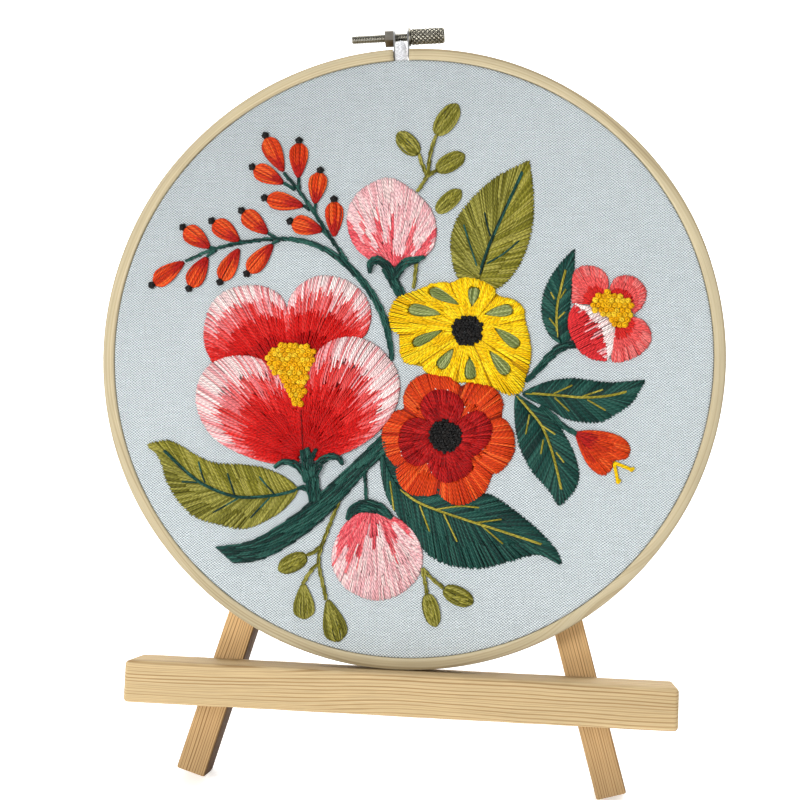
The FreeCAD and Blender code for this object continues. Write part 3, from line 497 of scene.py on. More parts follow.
class Threads:
    """Stitches of one motif, gathered into one mesh. Points are x, up and height above the linen."""

    def __init__(self, seed):
        self.random = random.Random(seed)
        self.verts, self.faces, self.grains, self.tints, self.ends = [], [], [], [], []
        self.count = 0

    def lay(self, path, width, colour, flat=0.8, taper=0.55, sides=SIDES, dark=0.36):
        """A tube along a path, flattened, thinner at its ends, with painted shade on its sides and underside.
        """
        path = np.asarray(path, float)
        steps = len(path)
        tangent = np.gradient(path, axis=0)
        tangent /= np.linalg.norm(tangent, axis=1)[:, None] + 1e-9
        side = np.stack([-tangent[:, 1], tangent[:, 0], np.zeros(steps)], 1)
        side /= np.linalg.norm(side, axis=1)[:, None] + 1e-9
        rise = np.cross(tangent, side)
        turn = np.linspace(0, TURN, sides, endpoint=False)
        scale = np.ones(steps)
        scale[[0, -1]] = taper
        half = (width / 2 * scale)[:, None, None]
        ring = path[:, None] + half * (side[:, None] * np.cos(turn)[None, :, None]
                                       + rise[:, None] * np.sin(turn)[None, :, None] * flat)
        along = np.concatenate([[0], np.cumsum(np.linalg.norm(np.diff(path, axis=0), axis=1))])
        start = self.random.uniform(0, 40)
        grain = np.zeros((steps, sides, 3))
        grain[:, :, 0] = along[:, None] + start
        grain[:, :, 1] = turn[None, :] * width / 2
        grain[:, :, 2] = start * 7
        self.verts.append(ring.reshape(-1, 3))
        self.grains.append(grain.reshape(-1, 3))
        # painted shade: the sides and underside darker than the upper side, as between neighbouring threads
        shaded = np.tile(dark + (1.02 - dark) * np.clip(np.sin(turn), 0, 1), steps)[:, None]
        tint = np.repeat(np.broadcast_to(np.asarray(colour, float), (steps, 4)), sides, axis=0)
        self.tints.append(tint * np.hstack([shaded, shaded, shaded, np.ones_like(shaded)]))
        self.faces += grid_faces(steps, sides, self.count) + end_caps(steps, sides, self.count)
        self.count += steps * sides

    def stitch(self, start, end, colour, rise=0.0, bow=0.0, width=THREAD, arch=0.16):
        """A thread that comes up through the linen at start and goes down at end."""
        start, end = np.array(start, float), np.array(end, float)
        run = end - start
        length = np.linalg.norm(run)
        if length < 0.3:
            return
        share = np.array([0, 0.5 / max(length, 1.5), 0.35, 0.65, 1 - 0.5 / max(length, 1.5), 1])
        flat = start + run * share[:, None] + left_of(run) * (bow * np.sin(np.pi * share))[:, None]
        height = rise + width * 0.38 + arch * np.sin(np.pi * share)
        height[[0, -1]] = UNDER
        self.lay(np.column_stack([flat, height]), width, self.varied(colour))
        self.ends.append((start, end, colour))

    def follow(self, line, low, high, colour, rise=0.0, width=THREAD):
        """A stitch along part of a line."""
        share = np.linspace(low, high, 6)
        share[1], share[-2] = low + (high - low) * 0.1, high - (high - low) * 0.1
        flat = line.at(share)
        height = np.full(6, rise + width * 0.4)
        height[[2, 3]] += 0.1
        height[[0, -1]] = UNDER
        self.lay(np.column_stack([flat, height]), width, self.varied(colour))
        self.ends.append((flat[0], flat[-1], colour))

    def varied(self, colour, amount=0.13):
        """The colour, a little lighter or darker."""
        light = 1 + self.random.uniform(-amount, amount)
        return (colour[0] * light, colour[1] * light, colour[2] * light, 1)

    def jitter(self, amount):
        return self.random.uniform(-amount, amount)

    def ground(self, base, rim, shade, across=40, along=8, high=0.1):
        """A thin layer under the stitches, so that no bare linen shows between them, coloured as painted
        shade.
        """
        first = self.count
        for share in np.linspace(0.01, 0.985, along):
            for s in np.linspace(0.004, 0.996, across):
                point = base.at(s) * (1 - share) + rim.at(s) * share
                self.verts.append(np.array([[*point, high]]))
                self.grains.append(np.array([[*point, 0.0]]))
                colour = shade(s, share, point)
                # painted shade: the stitches' colour at half strength, dark in the gaps between threads
                self.tints.append(np.array([[colour[0] * 0.5, colour[1] * 0.5, colour[2] * 0.5, 1]]))
        self.faces += grid_faces(along, across, first, closed=False)
        self.count += across * along

    def fan(self, base, rim, rows, shade, rise=0.0, bow=0.0, pitch=PITCH, ragged=0.07, edge=0.15,
            hole=None):
        """Long-and-short stitches between two outlines; rows are shares of the way from base to rim."""
        self.ground(base, rim, shade)
        for near, far in rows:
            shares = np.linspace(0, 1, 60)
            swept = [base.at(shares) * (1 - end) + rim.at(shares) * end for end in (near, far)]
            span = max(np.linalg.norm(np.diff(line, axis=0), axis=1).sum() for line in swept)
            count = max(3, int(span / pitch))
            for index in range(count):
                s = (index + 0.5 + self.jitter(0.25)) / count
                inner = max(0.0, near + (self.jitter(ragged) if near > 0 else 0))
                outer = far + self.jitter(ragged) if far < 1 else 1.0
                start = base.at(s) * (1 - inner) + rim.at(s) * inner
                end = base.at(s) * (1 - outer) + rim.at(s) * outer
                if far >= 1:
                    run = end - start
                    end = end + run / (np.linalg.norm(run) + 1e-9) * self.jitter(edge)
                middle = (start + end) / 2
                colour = shade(s, (inner + outer) / 2, middle)
                lift = rise(s, (inner + outer) / 2) if callable(rise) else rise
                lift += self.random.uniform(0, 0.2)
                for begin, finish in [(0, 1)] if hole is None else clear_runs(start, end, hole):
                    self.stitch(start + (end - start) * begin, start + (end - start) * finish, colour, lift,
                                bow * (0.5 - s) * 2)

    def leaf(self, edge, rib, shades, slant, split=11):
        """One half of a leaf in slanted satin stitch from its edge in to its rib."""
        count = int(max(edge.length, rib.length) / PITCH)
        self.ground(rib, edge, lambda s, t, point: shades[0])
        for index in range(count):
            t = (index + 0.5) / count
            outer = edge.at(min(1, max(0, t + self.jitter(0.004))))
            inner = rib.at(max(0.0, t * (1 + slant * 0.2) - slant * (0.35 + 0.65 * t)))
            run = inner - outer
            length = np.linalg.norm(run)
            outer = outer - run / (length + 1e-9) * (0.4 * (index % 2) + self.jitter(0.12))
            colour = self.random.choice(shades)
            lift = self.random.uniform(0, 0.2)
            if length > split:
                middle = outer + run * self.random.uniform(0.4, 0.6)
                self.stitch(outer, middle, colour, lift)
                self.stitch(middle - run * 0.03, inner, self.random.choice(shades), lift)
            else:
                self.stitch(outer, inner, colour, lift)

    def ribbon(self, left, right, shades, length, rise):
        """Stem stitch: rows of short overlapping stitches between two edges."""
        rows = max(1, round(np.linalg.norm(left.at(0.5) - right.at(0.5)) / STEM_PITCH))
        for row in range(rows):
            low = self.random.uniform(-0.5, 0) * length / left.length
            while low < 1:
                span = length * self.random.uniform(0.8, 1.2) / left.length
                begin, finish = max(0, low), min(1, low + span)
                if finish - begin > 1.2 / left.length:
                    share = begin + (finish - begin) * np.array([0, 0.1, 0.35, 0.65, 0.9, 1])
                    across = ((row + 0.5 + 0.55 * np.linspace(-1, 1, 6)) / rows).clip(0, 1)[:, None]
                    flat = left.at(share) * (1 - across) + right.at(share) * across
                    colour = self.random.choice(shades)
                    height = np.array([UNDER, 0.3, 0.42, 0.42, 0.3, UNDER])
                    height[1:-1] += rise + self.random.uniform(0, 0.2)
                    self.lay(np.column_stack([flat, height]), THREAD, self.varied(colour))
                    self.ends.append((flat[0], flat[-1], colour))
                low += span * 0.8

    def stem(self, points, widths, shades, length=4.5, rise=0.15):
        """Stem stitch along a line, with widths that are spread evenly along it."""
        line = Line(with_middle(points))
        half = [width / 2 for width in widths]
        self.ribbon(line.moved(half), line.moved([-h for h in half]), shades, length, rise)

    def vein(self, points, shades, rise=0.6, width=0.6, strands=1):
        """A thin line of back stitches over a leaf."""
        middle = Line(with_middle(points))
        for strand in range(strands):
            offset = (strand - (strands - 1) / 2) * width * 0.75
            line = middle.moved([offset, offset])
            count = max(1, round(line.length / 4.5))
            shift = 0.5 * strand / count
            for index in range(count):
                low, high = ((index + end) / count + shift for end in (-0.08, 1.08))
                self.follow(line, max(0, low), min(1, high), self.random.choice(shades), rise, width)

    def oval(self, base, tip, width, shades, rise=0.0, swell=EGG, pad=0.45, foot=None):
        """A padded oval of lengthwise stitches; foot is the colour its stitches have at the base."""
        base, tip = np.array(base, float), np.array(tip, float)
        run = tip - base
        normal = left_of(run)
        count = max(5, int(width / 0.5))
        share = np.array(OVAL_SHARES)
        for index in range(count):
            side = (index + 0.5) / count * 2 - 1 + self.jitter(0.05)
            ends = 1 - 0.13 * side ** 2
            across = np.array(swell) * width / 2 * side
            flat = base + run * (share * ends)[:, None] + normal * across[:, None]
            height = rise + 0.2 + pad * np.sqrt(max(0, 1 - side ** 2)) * np.sin(np.pi * share) ** 0.6
            height += self.random.uniform(0, 0.22)
            height[[0, -1]] = -0.05
            colour = np.array(self.varied(self.random.choice(shades)))
            tint = np.tile(colour, (len(share), 1))
            if foot is not None:
                blend = np.clip((self.random.uniform(0.2, 0.6) - share) / 0.15, 0, 1)[:, None]
                tint = tint * (1 - blend) + np.array(foot) * blend
            self.lay(np.column_stack([flat, height]), THREAD, tint, taper=0.6)
            if index % 3 == 0:
                self.ends.append((flat[0], flat[-1], tuple(colour)))

    def knot(self, point, colour, size=1.0, rise=0.1):
        """A French knot: the thread wound round itself and pulled down in the middle."""
        turn = np.linspace(0, KNOT_TURNS * TURN, KNOT_STEPS) + self.random.uniform(0, 6.28)
        share = np.linspace(0, 1, KNOT_STEPS)
        radius = size * (0.45 - 0.34 * share ** 1.7)
        height = rise + size * (0.22 + 0.44 * share)
        path = np.column_stack([point[0] + radius * np.cos(turn), point[1] + radius * np.sin(turn), height])
        self.lay(path, 0.48 * size, self.varied(colour, 0.12), flat=0.95, sides=5)

    def knots(self, outline, colours, spacing, size, rise):
        """Knots packed inside an outline."""
        xs, ys = zip(*outline)
        row, y = 0, min(ys)
        while y < max(ys):
            x = min(xs) + (spacing / 2 if row % 2 else 0)
            while x < max(xs):
                spot = (x + self.jitter(0.2), y + self.jitter(0.2))
                if inside(outline, spot):
                    self.knot(spot, self.random.choice(colours), size * self.random.uniform(0.9, 1.12),
                              rise + self.random.uniform(0, 0.2))
                x += spacing
            y += spacing * 0.87
            row += 1

    def black_eye(self, centre, radius, rise):
        """A flower's round middle of black knots."""
        eye = Round(centre, radius=radius)
        self.knots([tuple(eye.at(k / 16)) for k in range(16)], BLACK, spacing=1.1, size=1.15, rise=rise)

    def backs(self):
        """Threads that cross the linen's back from stitch to stitch."""
        behind = -LINEN_THICK - 0.22
        for (_, end, colour), (start, _, _) in list(zip(self.ends, self.ends[2:]))[::2]:
            if 0.8 < np.linalg.norm(start - end) < 14:
                middle = (start + end) / 2 + (self.jitter(0.4), self.jitter(0.4))
                lift = behind - self.random.uniform(0, 0.25)
                path = [(*end, behind + 0.2), (*middle, lift), (*start, behind + 0.2)]
                self.lay(path, 0.5, self.varied(colour, 0.12), taper=0.8, sides=5)

    def finished(self, name, replaced):
        """The motif as one piece, together with the threads behind it."""
        self.backs()
        points = np.vstack(self.verts)
        points[:, 2] += LINEN_OUT
        return add_piece(name, placed(points), self.faces, "hoop_inner", COTTON, replaced,
                         grain=np.vstack(self.grains), tint=np.vstack(self.tints))


# ---------------------------------------------------------------- motifs, x then up from the hoop's centre

WHITE, PALE, PINK = linear(250, 233, 229), linear(244, 211, 209), linear(238, 164, 166)
ROSE, CORAL, WARM_RED = linear(230, 118, 120), linear(224, 80, 78), linear(214, 42, 38)
RED, DEEP_RED = linear(200, 20, 17), linear(178, 9, 9)
ORANGE, ORANGE_LIGHT, ORANGE_DARK = linear(213, 64, 20), linear(232, 94, 38), linear(190, 48, 16)
CRIMSON = [linear(165, 19, 20), linear(143, 12, 15), linear(184, 28, 27)]
YELLOW = [linear(250, 204, 10), linear(238, 184, 4), linear(254, 217, 32)]
GOLD = [linear(250, 188, 18), linear(242, 172, 8), linear(254, 206, 44)]
BLACK = [linear(16, 13, 12), linear(30, 26, 24), linear(8, 7, 7)]
OLIVE = [linear(130, 126, 50), linear(104, 100, 32), linear(156, 150, 70)]
OLIVE_LIGHT = [linear(140, 134, 46), linear(114, 110, 32), linear(162, 154, 70)]
SAGE = [linear(140, 152, 88), linear(116, 130, 70), linear(164, 174, 112)]
GREEN = [linear(27, 70, 62), linear(14, 48, 43), linear(46, 91, 80)]
VEIN = [linear(176, 164, 66), linear(152, 142, 48)]
BUD_PINK = [linear(240, 193, 195), linear(235, 174, 177), linear(247, 214, 211)]
BUD_CORAL = [linear(234, 100, 108), linear(222, 78, 88), linear(240, 124, 128)]

PETAL_SHADES = [(0.32, DEEP_RED), (0.52, RED), (0.64, WARM_RED), (0.72, CORAL), (0.79, ROSE), (0.86, PINK),
                (0.94, PALE), (9.0, WHITE)]


def petal_shade(threads, weights, shades=PETAL_SHADES, noisy=0.09):
    """Deep at the base and pale at the rim; weights across the petal hold the pale back in places."""
    places = np.linspace(0, 1, len(weights))

    def shade(s, t, point):
        value = t * np.interp(s, places, weights) + threads.jitter(noisy)
        return next(colour for limit, colour in shades if value < limit)

    return shade


UPPER_ROWS = [(0, 0.38), (0.28, 0.66), (0.54, 0.86), (0.74, 1)]
LOWER_ROWS = [(0, 0.26), (0.18, 0.46), (0.36, 0.64), (0.54, 0.82), (0.74, 1)]
BIG_PETALS = [     # base, rim, rows, weights, rise, bow
    ([(-51, -8.5), (-47, -7), (-42.5, -4), (-39, 0)],
     [(-66, -5), (-69, 1), (-69.2, 8), (-67.5, 14.5), (-63.5, 19), (-57.5, 21.3), (-51, 21.6),
      (-46, 20), (-42.6, 17), (-41.3, 12.5), (-40.6, 7)],
     UPPER_ROWS, [0.66, 0.8, 0.95, 1.02, 1.03, 1.02, 1.0, 0.9, 0.75], 0.0, -0.8),
    ([(-39, -1), (-36, -3), (-33, -3.6), (-29.5, -3)],
     [(-40.6, 7), (-41.2, 12.5), (-40.4, 17.5), (-37.5, 22), (-32.5, 25), (-27, 25.6),
      (-21.5, 24.2), (-16.8, 21), (-13.8, 16.8), (-12.9, 12), (-13.8, 7.5), (-16, 5)],
     UPPER_ROWS, [0.68, 0.85, 0.98, 1.02, 1.03, 1.03, 1.02, 0.98, 0.8, 0.6], 0.0, 0.6),
    ([(-35.5, -35.5), (-34.2, -34.4), (-33.9, -33)],
     [(-36, -36.6), (-43, -37), (-50, -36), (-57, -33.8), (-63.5, -30.4), (-67.8, -25.6),
      (-70.4, -19.8), (-70.8, -14), (-69, -8.6), (-65.5, -4.6), (-60, -2.6), (-54, -2.2),
      (-49, -3.6), (-44.4, -6.8), (-40.2, -12.6), (-36.6, -19.5)],
     LOWER_ROWS, [0.66, 0.7, 0.8, 0.9, 1.0, 1.02, 1.04, 1.04, 1.03, 0.98, 0.86, 0.74, 0.62], 0.45, 1.4),
    ([(-32.2, -35), (-33.2, -34.4), (-33.6, -33)],
     [(-29, -35), (-22, -33.4), (-15.5, -30.8), (-10, -27), (-5.8, -22.2), (-3, -16.6),
      (-2.3, -11), (-3.6, -5.4), (-7, -0.6), (-12, 3.4), (-18, 5.3), (-23.8, 4.6), (-28.4, 1.8),
      (-31.4, -2.6), (-33.2, -8), (-34.5, -14), (-35, -19.5)],
     LOWER_ROWS, [0.62, 0.68, 0.76, 0.86, 0.96, 1.02, 1.04, 1.04, 1.0, 0.88, 0.76, 0.68, 0.6], 0.45, -1.4)]


def big_flower():
    sewn = Threads(1)
    for base, rim, rows, weights, rise, bow in BIG_PETALS:
        sewn.fan(Line(base), Line(rim), rows, petal_shade(sewn, weights), rise=rise, bow=bow)
    # painted shade: a dark red thread along the crease between the two lower petals
    shaded_crease = Line([(-35, -19.2), (-34.3, -26), (-33.7, -33.4)])
    for low, high in ((0, 0.55), (0.45, 1)):
        sewn.follow(shaded_crease, low, high, linear(118, 6, 8), 1.0, 0.42)
    sewn.knots([(-43.2, 1.4), (-38.5, 2.3), (-34.2, 1.9), (-31.2, 0.2), (-30.8, -3.5),
                (-32.8, -8.5), (-33.8, -13), (-35, -19.4), (-37.4, -17.6), (-40.6, -12),
                (-44, -8), (-47.8, -4.6), (-46.4, -1)],
               GOLD, spacing=1.7, size=1.8, rise=0.55)
    sewn.finished("big_flower", ["big_flower_stitches"])


YELLOW_OUTLINE = [(40.6, 2), (39.6, 7.5), (38.2, 12.4), (37.6, 16.2), (34.3, 19), (30.5, 19.9),
                  (28.4, 20.3), (27.6, 23), (24.4, 24.8), (20.6, 26), (16.6, 26), (13.2, 24.3),
                  (9.8, 24.4), (5.4, 23), (1.4, 21.2), (-1.8, 20.2), (-5, 18.4), (-7, 14.6),
                  (-7.2, 11), (-5.8, 7.6), (-3.6, 6.2), (-3.2, 3.6), (-3, 0.2), (-1.2, -3),
                  (2.2, -3.6), (4.4, -3), (5.6, -5.8), (9, -7), (13.8, -7.6), (16.2, -9),
                  (19.6, -9), (23.2, -9.4), (29.2, -10.6), (31.8, -12.2), (35.2, -12.7),
                  (38, -11.2), (38.8, -7.8), (40, -3.4)]
YELLOW_NOTCHES = [(38.2, 12.6), (28.3, 20.2), (13, 24), (-1.2, 20), (-3.8, 6.2), (4.4, -3),
                  (16.2, -8.8), (28, -10.4), (39.4, -5)]
INSETS = [     # from, to and width of the leaf shapes let into the petals
    ((10.3, 13.6), (-0.6, 15), 4.4), ((15.9, 17), (6.2, 21.6), 3.9), ((20.4, 16.6), (21.2, 22.8), 4.2),
    ((25, 14), (34, 15.8), 4.3), ((28.4, 9.2), (36.4, 3.6), 4.0), ((27, 1.4), (33.2, -5.6), 4.4),
    ((20.2, -0.6), (21, -7.8), 4.2), ((14.8, 2), (10.4, -4.4), 4.2), ((10.8, 8), (1.4, 3.2), 3.7)]


def in_inset(point):
    """Whether a point lies in one of the yellow flower's insets."""
    for inner, outer, width in INSETS:
        share, off = along_and_off(point, inner, outer)
        if 0 < share < 1 and off < width / 2 * np.interp(share, OVAL_SHARES, BLADE):
            return True
    return False


def lobed_rise(centre, notches, high):
    """Petals are fullest along their middles and sink towards the notches between them."""
    middle = np.array(centre)
    turns = sorted(math.atan2(y - middle[1], x - middle[0]) % TURN for x, y in notches)
    turns = [turns[-1] - TURN] + turns + [turns[0] + TURN]

    def rise(s, t):
        turn = s * TURN
        low = max(x for x in turns if x <= turn)
        top = min(x for x in turns if x > turn)
        share = (turn - low) / (top - low) * 2 - 1
        return high * math.sqrt(max(0.0, 1 - share ** 4)) * (0.45 + 0.55 * t)

    return rise


def parted(threads, centre, notches, colours, dark, half):
    """Any of the colours, and the dark one along the lines between petals, as painted shade in the grooves.
    """
    turns = [math.atan2(y - centre[1], x - centre[0]) for x, y in notches]

    def shade(s, t, point):
        off = min(abs((s * TURN - turn + math.pi) % TURN - math.pi) for turn in turns)
        # painted shade: the dark thread on the lines between petals
        return dark if off < half and t > 0.2 else threads.random.choice(colours)

    return shade


def yellow_flower():
    sewn = Threads(2)
    centre = (19.3, 8.2)
    sewn.fan(Round(centre, radius=4.2), Round(centre, YELLOW_OUTLINE), [(0, 0.5), (0.36, 0.78), (0.62, 1)],
             parted(sewn, centre, YELLOW_NOTCHES, YELLOW, linear(186, 138, 6), 0.018),
             rise=lobed_rise(centre, YELLOW_NOTCHES, 0.6), hole=in_inset)
    for inner, outer, width in INSETS:
        sewn.oval(inner, outer, width, SAGE, rise=0.0, swell=BLADE, pad=0.1)
        base, tip = np.array(inner), np.array(outer)
        run = tip - base
        side = left_of(run)
        for way in (-1, 1):
            for row in (0.05, 0.6):
                reach = way * (width / 2 + row)
                edge = Line([base - run * 0.18, base + run * 0.35 + side * reach * 0.8,
                             base + run * 0.8 + side * reach * 1.06, tip + side * reach * 0.6 + run * 0.1])
                for low, high in ((0, 0.55), (0.5, 1)):
                    sewn.follow(edge, low, high, sewn.random.choice(YELLOW), 0.6)
    sewn.black_eye(centre, 5.3, 0.55)
    sewn.finished("yellow_flower", ["yellow_flower_stitches"])


ORANGE_OUTLINE = [(35.9, -25.5), (33.6, -21.4), (31.4, -19.6), (32, -15.4), (30.2, -11.6),
                  (26, -8.8), (21.2, -8), (18.2, -10.2), (14.6, -7), (10.4, -5.9), (5.4, -6.4),
                  (1.2, -9), (-1.1, -13.6), (-0.9, -18.4), (-3, -18.8), (-5.6, -20.6),
                  (-7.6, -24.6), (-7.9, -30), (-6, -34.2), (-3.2, -37.6), (-2.8, -40),
                  (-1.2, -43.6), (2.4, -46.6), (7.6, -47), (11.6, -46.2), (14.4, -48.4),
                  (18.2, -49.6), (22.2, -48.6), (26.4, -45.6), (28.4, -41.4), (29.2, -38.8),
                  (31, -38.3), (34.1, -35.4), (36.1, -31)]
ORANGE_NOTCHES = [(31.4, -19.6), (18.2, -10.4), (-0.9, -18.6), (-3, -38.2), (11.6, -46.2), (29, -38.8)]
CRIMSON_RIMS = [
    [(17.8, -21), (19.2, -17.4), (18.6, -14.6), (15.6, -12.2), (11.8, -11.3), (8, -11.8),
     (5.2, -14.6), (4.8, -18.6), (7.4, -22.4)],
    [(18.4, -31.4), (22.2, -33.8), (25.8, -31), (28.5, -27.4), (28.8, -23), (26.4, -19),
     (23.2, -18), (19.4, -20), (17.6, -22)],
    [(9.4, -32.2), (7.8, -35.4), (8, -37.8), (11.4, -41.4), (15.2, -42.4), (20.6, -40),
     (22.6, -37.4), (22.2, -34.4), (18.4, -31.6)],
    [(7.6, -22.6), (3.8, -21), (0, -22.2), (-2.1, -25.8), (-2.2, -30.8), (0, -35.2), (4, -37.3),
     (7.9, -35.4), (9.6, -32)]]


def orange_flower():
    sewn = Threads(3)
    centre = (13.2, -26.9)
    shades = [ORANGE] * 5 + [ORANGE_LIGHT, ORANGE_DARK]
    sewn.fan(Round(centre, radius=7), Round(centre, ORANGE_OUTLINE), [(0, 0.5), (0.42, 1)],
             parted(sewn, centre, ORANGE_NOTCHES, shades, linear(146, 36, 14), 0.024),
             rise=lobed_rise(centre, ORANGE_NOTCHES, 0.45))
    for number, rim in enumerate(CRIMSON_RIMS):
        turn = [math.atan2(y - centre[1], x - centre[0]) for x, y in (rim[0], rim[-1])]
        if turn[1] - turn[0] > math.pi:
            turn[1] -= TURN
        if turn[0] - turn[1] > math.pi:
            turn[1] += TURN
        arc = [(centre[0] + 4.6 * math.cos(a), centre[1] + 4.6 * math.sin(a))
               for a in np.linspace(*turn, 5)]
        high = 0.5 + 0.04 * number
        sewn.fan(Line(arc), Line(rim), [(0, 0.6), (0.48, 1)], lambda s, t, point: sewn.random.choice(CRIMSON),
                 rise=lambda s, t, high=high: high + 0.25 * math.sin(math.pi * s))
    for rim in CRIMSON_RIMS:
        edge = Line(rim)
        for _ in range(3):
            spot = edge.at(sewn.random.uniform(0.12, 0.88)) * 0.98 + np.array(centre) * 0.02
            sewn.stitch(spot, spot + (sewn.jitter(0.5), 0.45), linear(226, 214, 208), 0.85, width=0.4)
    sewn.black_eye(centre, 5.4, 0.85)
    sewn.finished("orange_flower", ["orange_flower_stitches"])


def flamed(threads, flames, heart, reach):
    """Pink, with coral flames that start at the calyx and come to a point."""

    def shade(s, t, point):
        for base, tip, half in flames:
            share, off = along_and_off(point, base, tip)
            if -0.3 < share < 1 and off < half * (1 - max(0, share) ** 1.5):
                return threads.random.choice(BUD_CORAL)
        if np.linalg.norm(point - np.array(heart)) < reach:
            return threads.random.choice(BUD_CORAL)
        return threads.random.choice(BUD_PINK)

    return shade


BUD_ROWS = [(0, 0.2), (0.14, 0.34), (0.27, 0.48), (0.4, 0.62), (0.55, 0.76), (0.68, 0.89), (0.8, 1)]
BUDS = [     # base, rim, flames from, to and half width, heart, its reach
    ([(-9, 29.6), (-6, 29), (-3, 29.6)],
     [(-13, 30.4), (-18.6, 34.6), (-21.6, 40), (-22.5, 46.7), (-20.2, 52.8), (-15.4, 56.8),
      (-9, 59.2), (-2, 56), (4.9, 50), (7.6, 43.3), (7, 36), (2, 31)],
     [((-17.5, 34.5), (-22.3, 44.5), 1.6), ((-14, 32), (-17.8, 46.5), 1.5), ((-11, 31), (-12, 49.5), 1.7),
      ((-8.5, 30.5), (-6.4, 47.5), 1.6), ((-1.5, 31.5), (0.2, 45.6), 1.5), ((2.5, 32.5), (7.6, 42.5), 1.6)],
     (-6, 28), 5.5),
    ([(-13, -52.8), (-9.5, -51.8), (-5.5, -52.8)],
     [(-17, -55), (-20, -59), (-22.4, -65.6), (-21.9, -72), (-17, -78.3), (-8.5, -81.4),
      (-0.4, -79.5), (6, -73.6), (7.4, -66), (4.8, -59.6), (0.2, -55.3)],
     [((-16.5, -54.5), (-21.6, -70.5), 2.3), ((-14.5, -55), (-17.6, -74), 1.8),
      ((-12, -53), (-14, -71), 1.9),
      ((-9.5, -53), (-8, -66.5), 2.0), ((-5.5, -53), (-1, -69.5), 2.2), ((-1, -54), (3.5, -60.5), 1.6)],
     (-9.5, -51), 6.5)]


def pink_buds():
    sewn = Threads(4)
    for base, rim, flames, heart, reach in BUDS:
        sewn.fan(Line(base), Line(rim), BUD_ROWS, flamed(sewn, flames, heart, reach),
                 rise=lambda s, t: 0.35 * math.sin(math.pi * min(1, t * 0.9 + 0.1)), ragged=0.05)
    sewn.finished("pink_buds", ["bud_stitches"])


def right_flower():
    sewn = Threads(5)
    coral = [(0.36, WARM_RED), (0.8, linear(230, 88, 86)), (9, linear(238, 120, 116))]
    rows = [(0, 0.45), (0.32, 0.74), (0.6, 1)]
    petals = [
        ([(59.2, 18.2), (61, 20), (63, 21.6)],
         [(53.1, 18.2), (52.9, 23), (53, 28), (55, 30.4), (58.7, 31.1), (62.4, 30), (64.7, 27.2),
          (64.9, 23.2)]),
        ([(66, 21.8), (69, 20.4), (71.6, 17.6)],
         [(65.2, 23.4), (67, 27), (70.2, 28.1), (74, 27.3), (76.8, 24.4), (77.4, 21.2),
          (76, 17.6), (73.6, 15.4)]),
        ([(71.5, 14.6), (69.6, 12.2), (67.8, 11)],
         [(73.2, 14.2), (77.2, 12.8), (79.2, 9), (78.9, 5.6), (76.2, 2.4), (71.8, 0), (67, -0.5),
          (66.9, 4)])]
    for number, (base, rim) in enumerate(petals):
        sewn.fan(Line(base), Line(rim), rows, petal_shade(sewn, [1, 1], coral), rise=0.1 + 0.05 * number)
    streak = [(0.24, WHITE), (0.34, PALE), (0.42, PINK), (9, linear(222, 50, 54))]
    sewn.fan(Line([(54.4, 18.3), (59.9, 17.3), (63.6, 15.4), (66.2, 13), (68, 9.4), (67.2, 3.6),
                   (65.4, -0.2)]),
             Line([(53.8, 17.2), (52.4, 15), (51.9, 11.6), (52.9, 7.6), (55.6, 3), (60, 0.2),
                   (64.6, -0.4)]),
             [(0, 0.36), (0.26, 0.66), (0.52, 1)], petal_shade(sewn, [0.9, 1, 1, 1, 0.9], streak, 0.1),
             rise=0.3)
    sewn.knots([(59.2, 17.2), (61.2, 20.6), (63.7, 22.6), (67.2, 22.2), (70.6, 20.6),
                (72.9, 17.8), (73, 14.2), (70.2, 11.2), (67.8, 10.2), (65.9, 12.4), (62.9, 14.6),
                (60, 16)], GOLD, spacing=1.75, size=1.85,
               rise=0.4)
    bell = [(0.2, linear(140, 18, 22)), (0.4, linear(176, 28, 22)), (0.62, ORANGE_DARK), (0.9, ORANGE),
            (9, ORANGE_LIGHT)]
    lobes = [(56.2, -24), (60.8, -23.4), (66.2, -23.8), (71.4, -25.6), (73.6, -29), (72.4, -32),
             (68.4, -33), (67.8, -35.8), (65, -37.8), (61.2, -35.8), (58.2, -31.2), (56, -25.6)]
    sewn.fan(Line([(56, -24), (55.8, -24.4), (56, -24.8)]), Line(lobes),
             [(0, 0.5), (0.32, 0.76), (0.62, 1)], petal_shade(sewn, [1, 1], bell, 0.16), rise=0.1)
    for start, end in (((68.2, -33.4), (74, -35.5)), ((68.4, -33.6), (69.8, -39.6))):
        for off in (-0.2, 0.2):
            sewn.stitch(np.array(start) + off, np.array(end) + off, YELLOW[0], 0.15)
        sewn.knot(end, YELLOW[0], 1.35)
        sewn.knot((end[0] + 0.5, end[1] + 0.3), YELLOW[2], 1.1)
    sewn.finished("coral_flower_and_bell", ["bud_stitches"])


BERRIES = [((-44.9, 60.6), (-51.2, 72.2)), ((-39.6, 58.5), (-39.9, 70.6)), ((-44.7, 56.5), (-55, 61.6)),
           ((-33.5, 49.8), (-32.3, 60.6)), ((-37.5, 48.9), (-50.2, 51.2)), ((-26.5, 38.8), (-27.1, 50.8)),
           ((-30.7, 40.6), (-41.2, 43.4)), ((-49.2, 39.3), (-58, 46.5)), ((-58.7, 36.3), (-68, 42.8)),
           ((-68.7, 34), (-77.8, 40.4)), ((-77.3, 28.8), (-87.4, 21)), ((-69.4, 30.7), (-74.8, 20.3)),
           ((-58.7, 33.8), (-64.3, 22.8)), ((-47.3, 35.6), (-55.2, 25.8))]


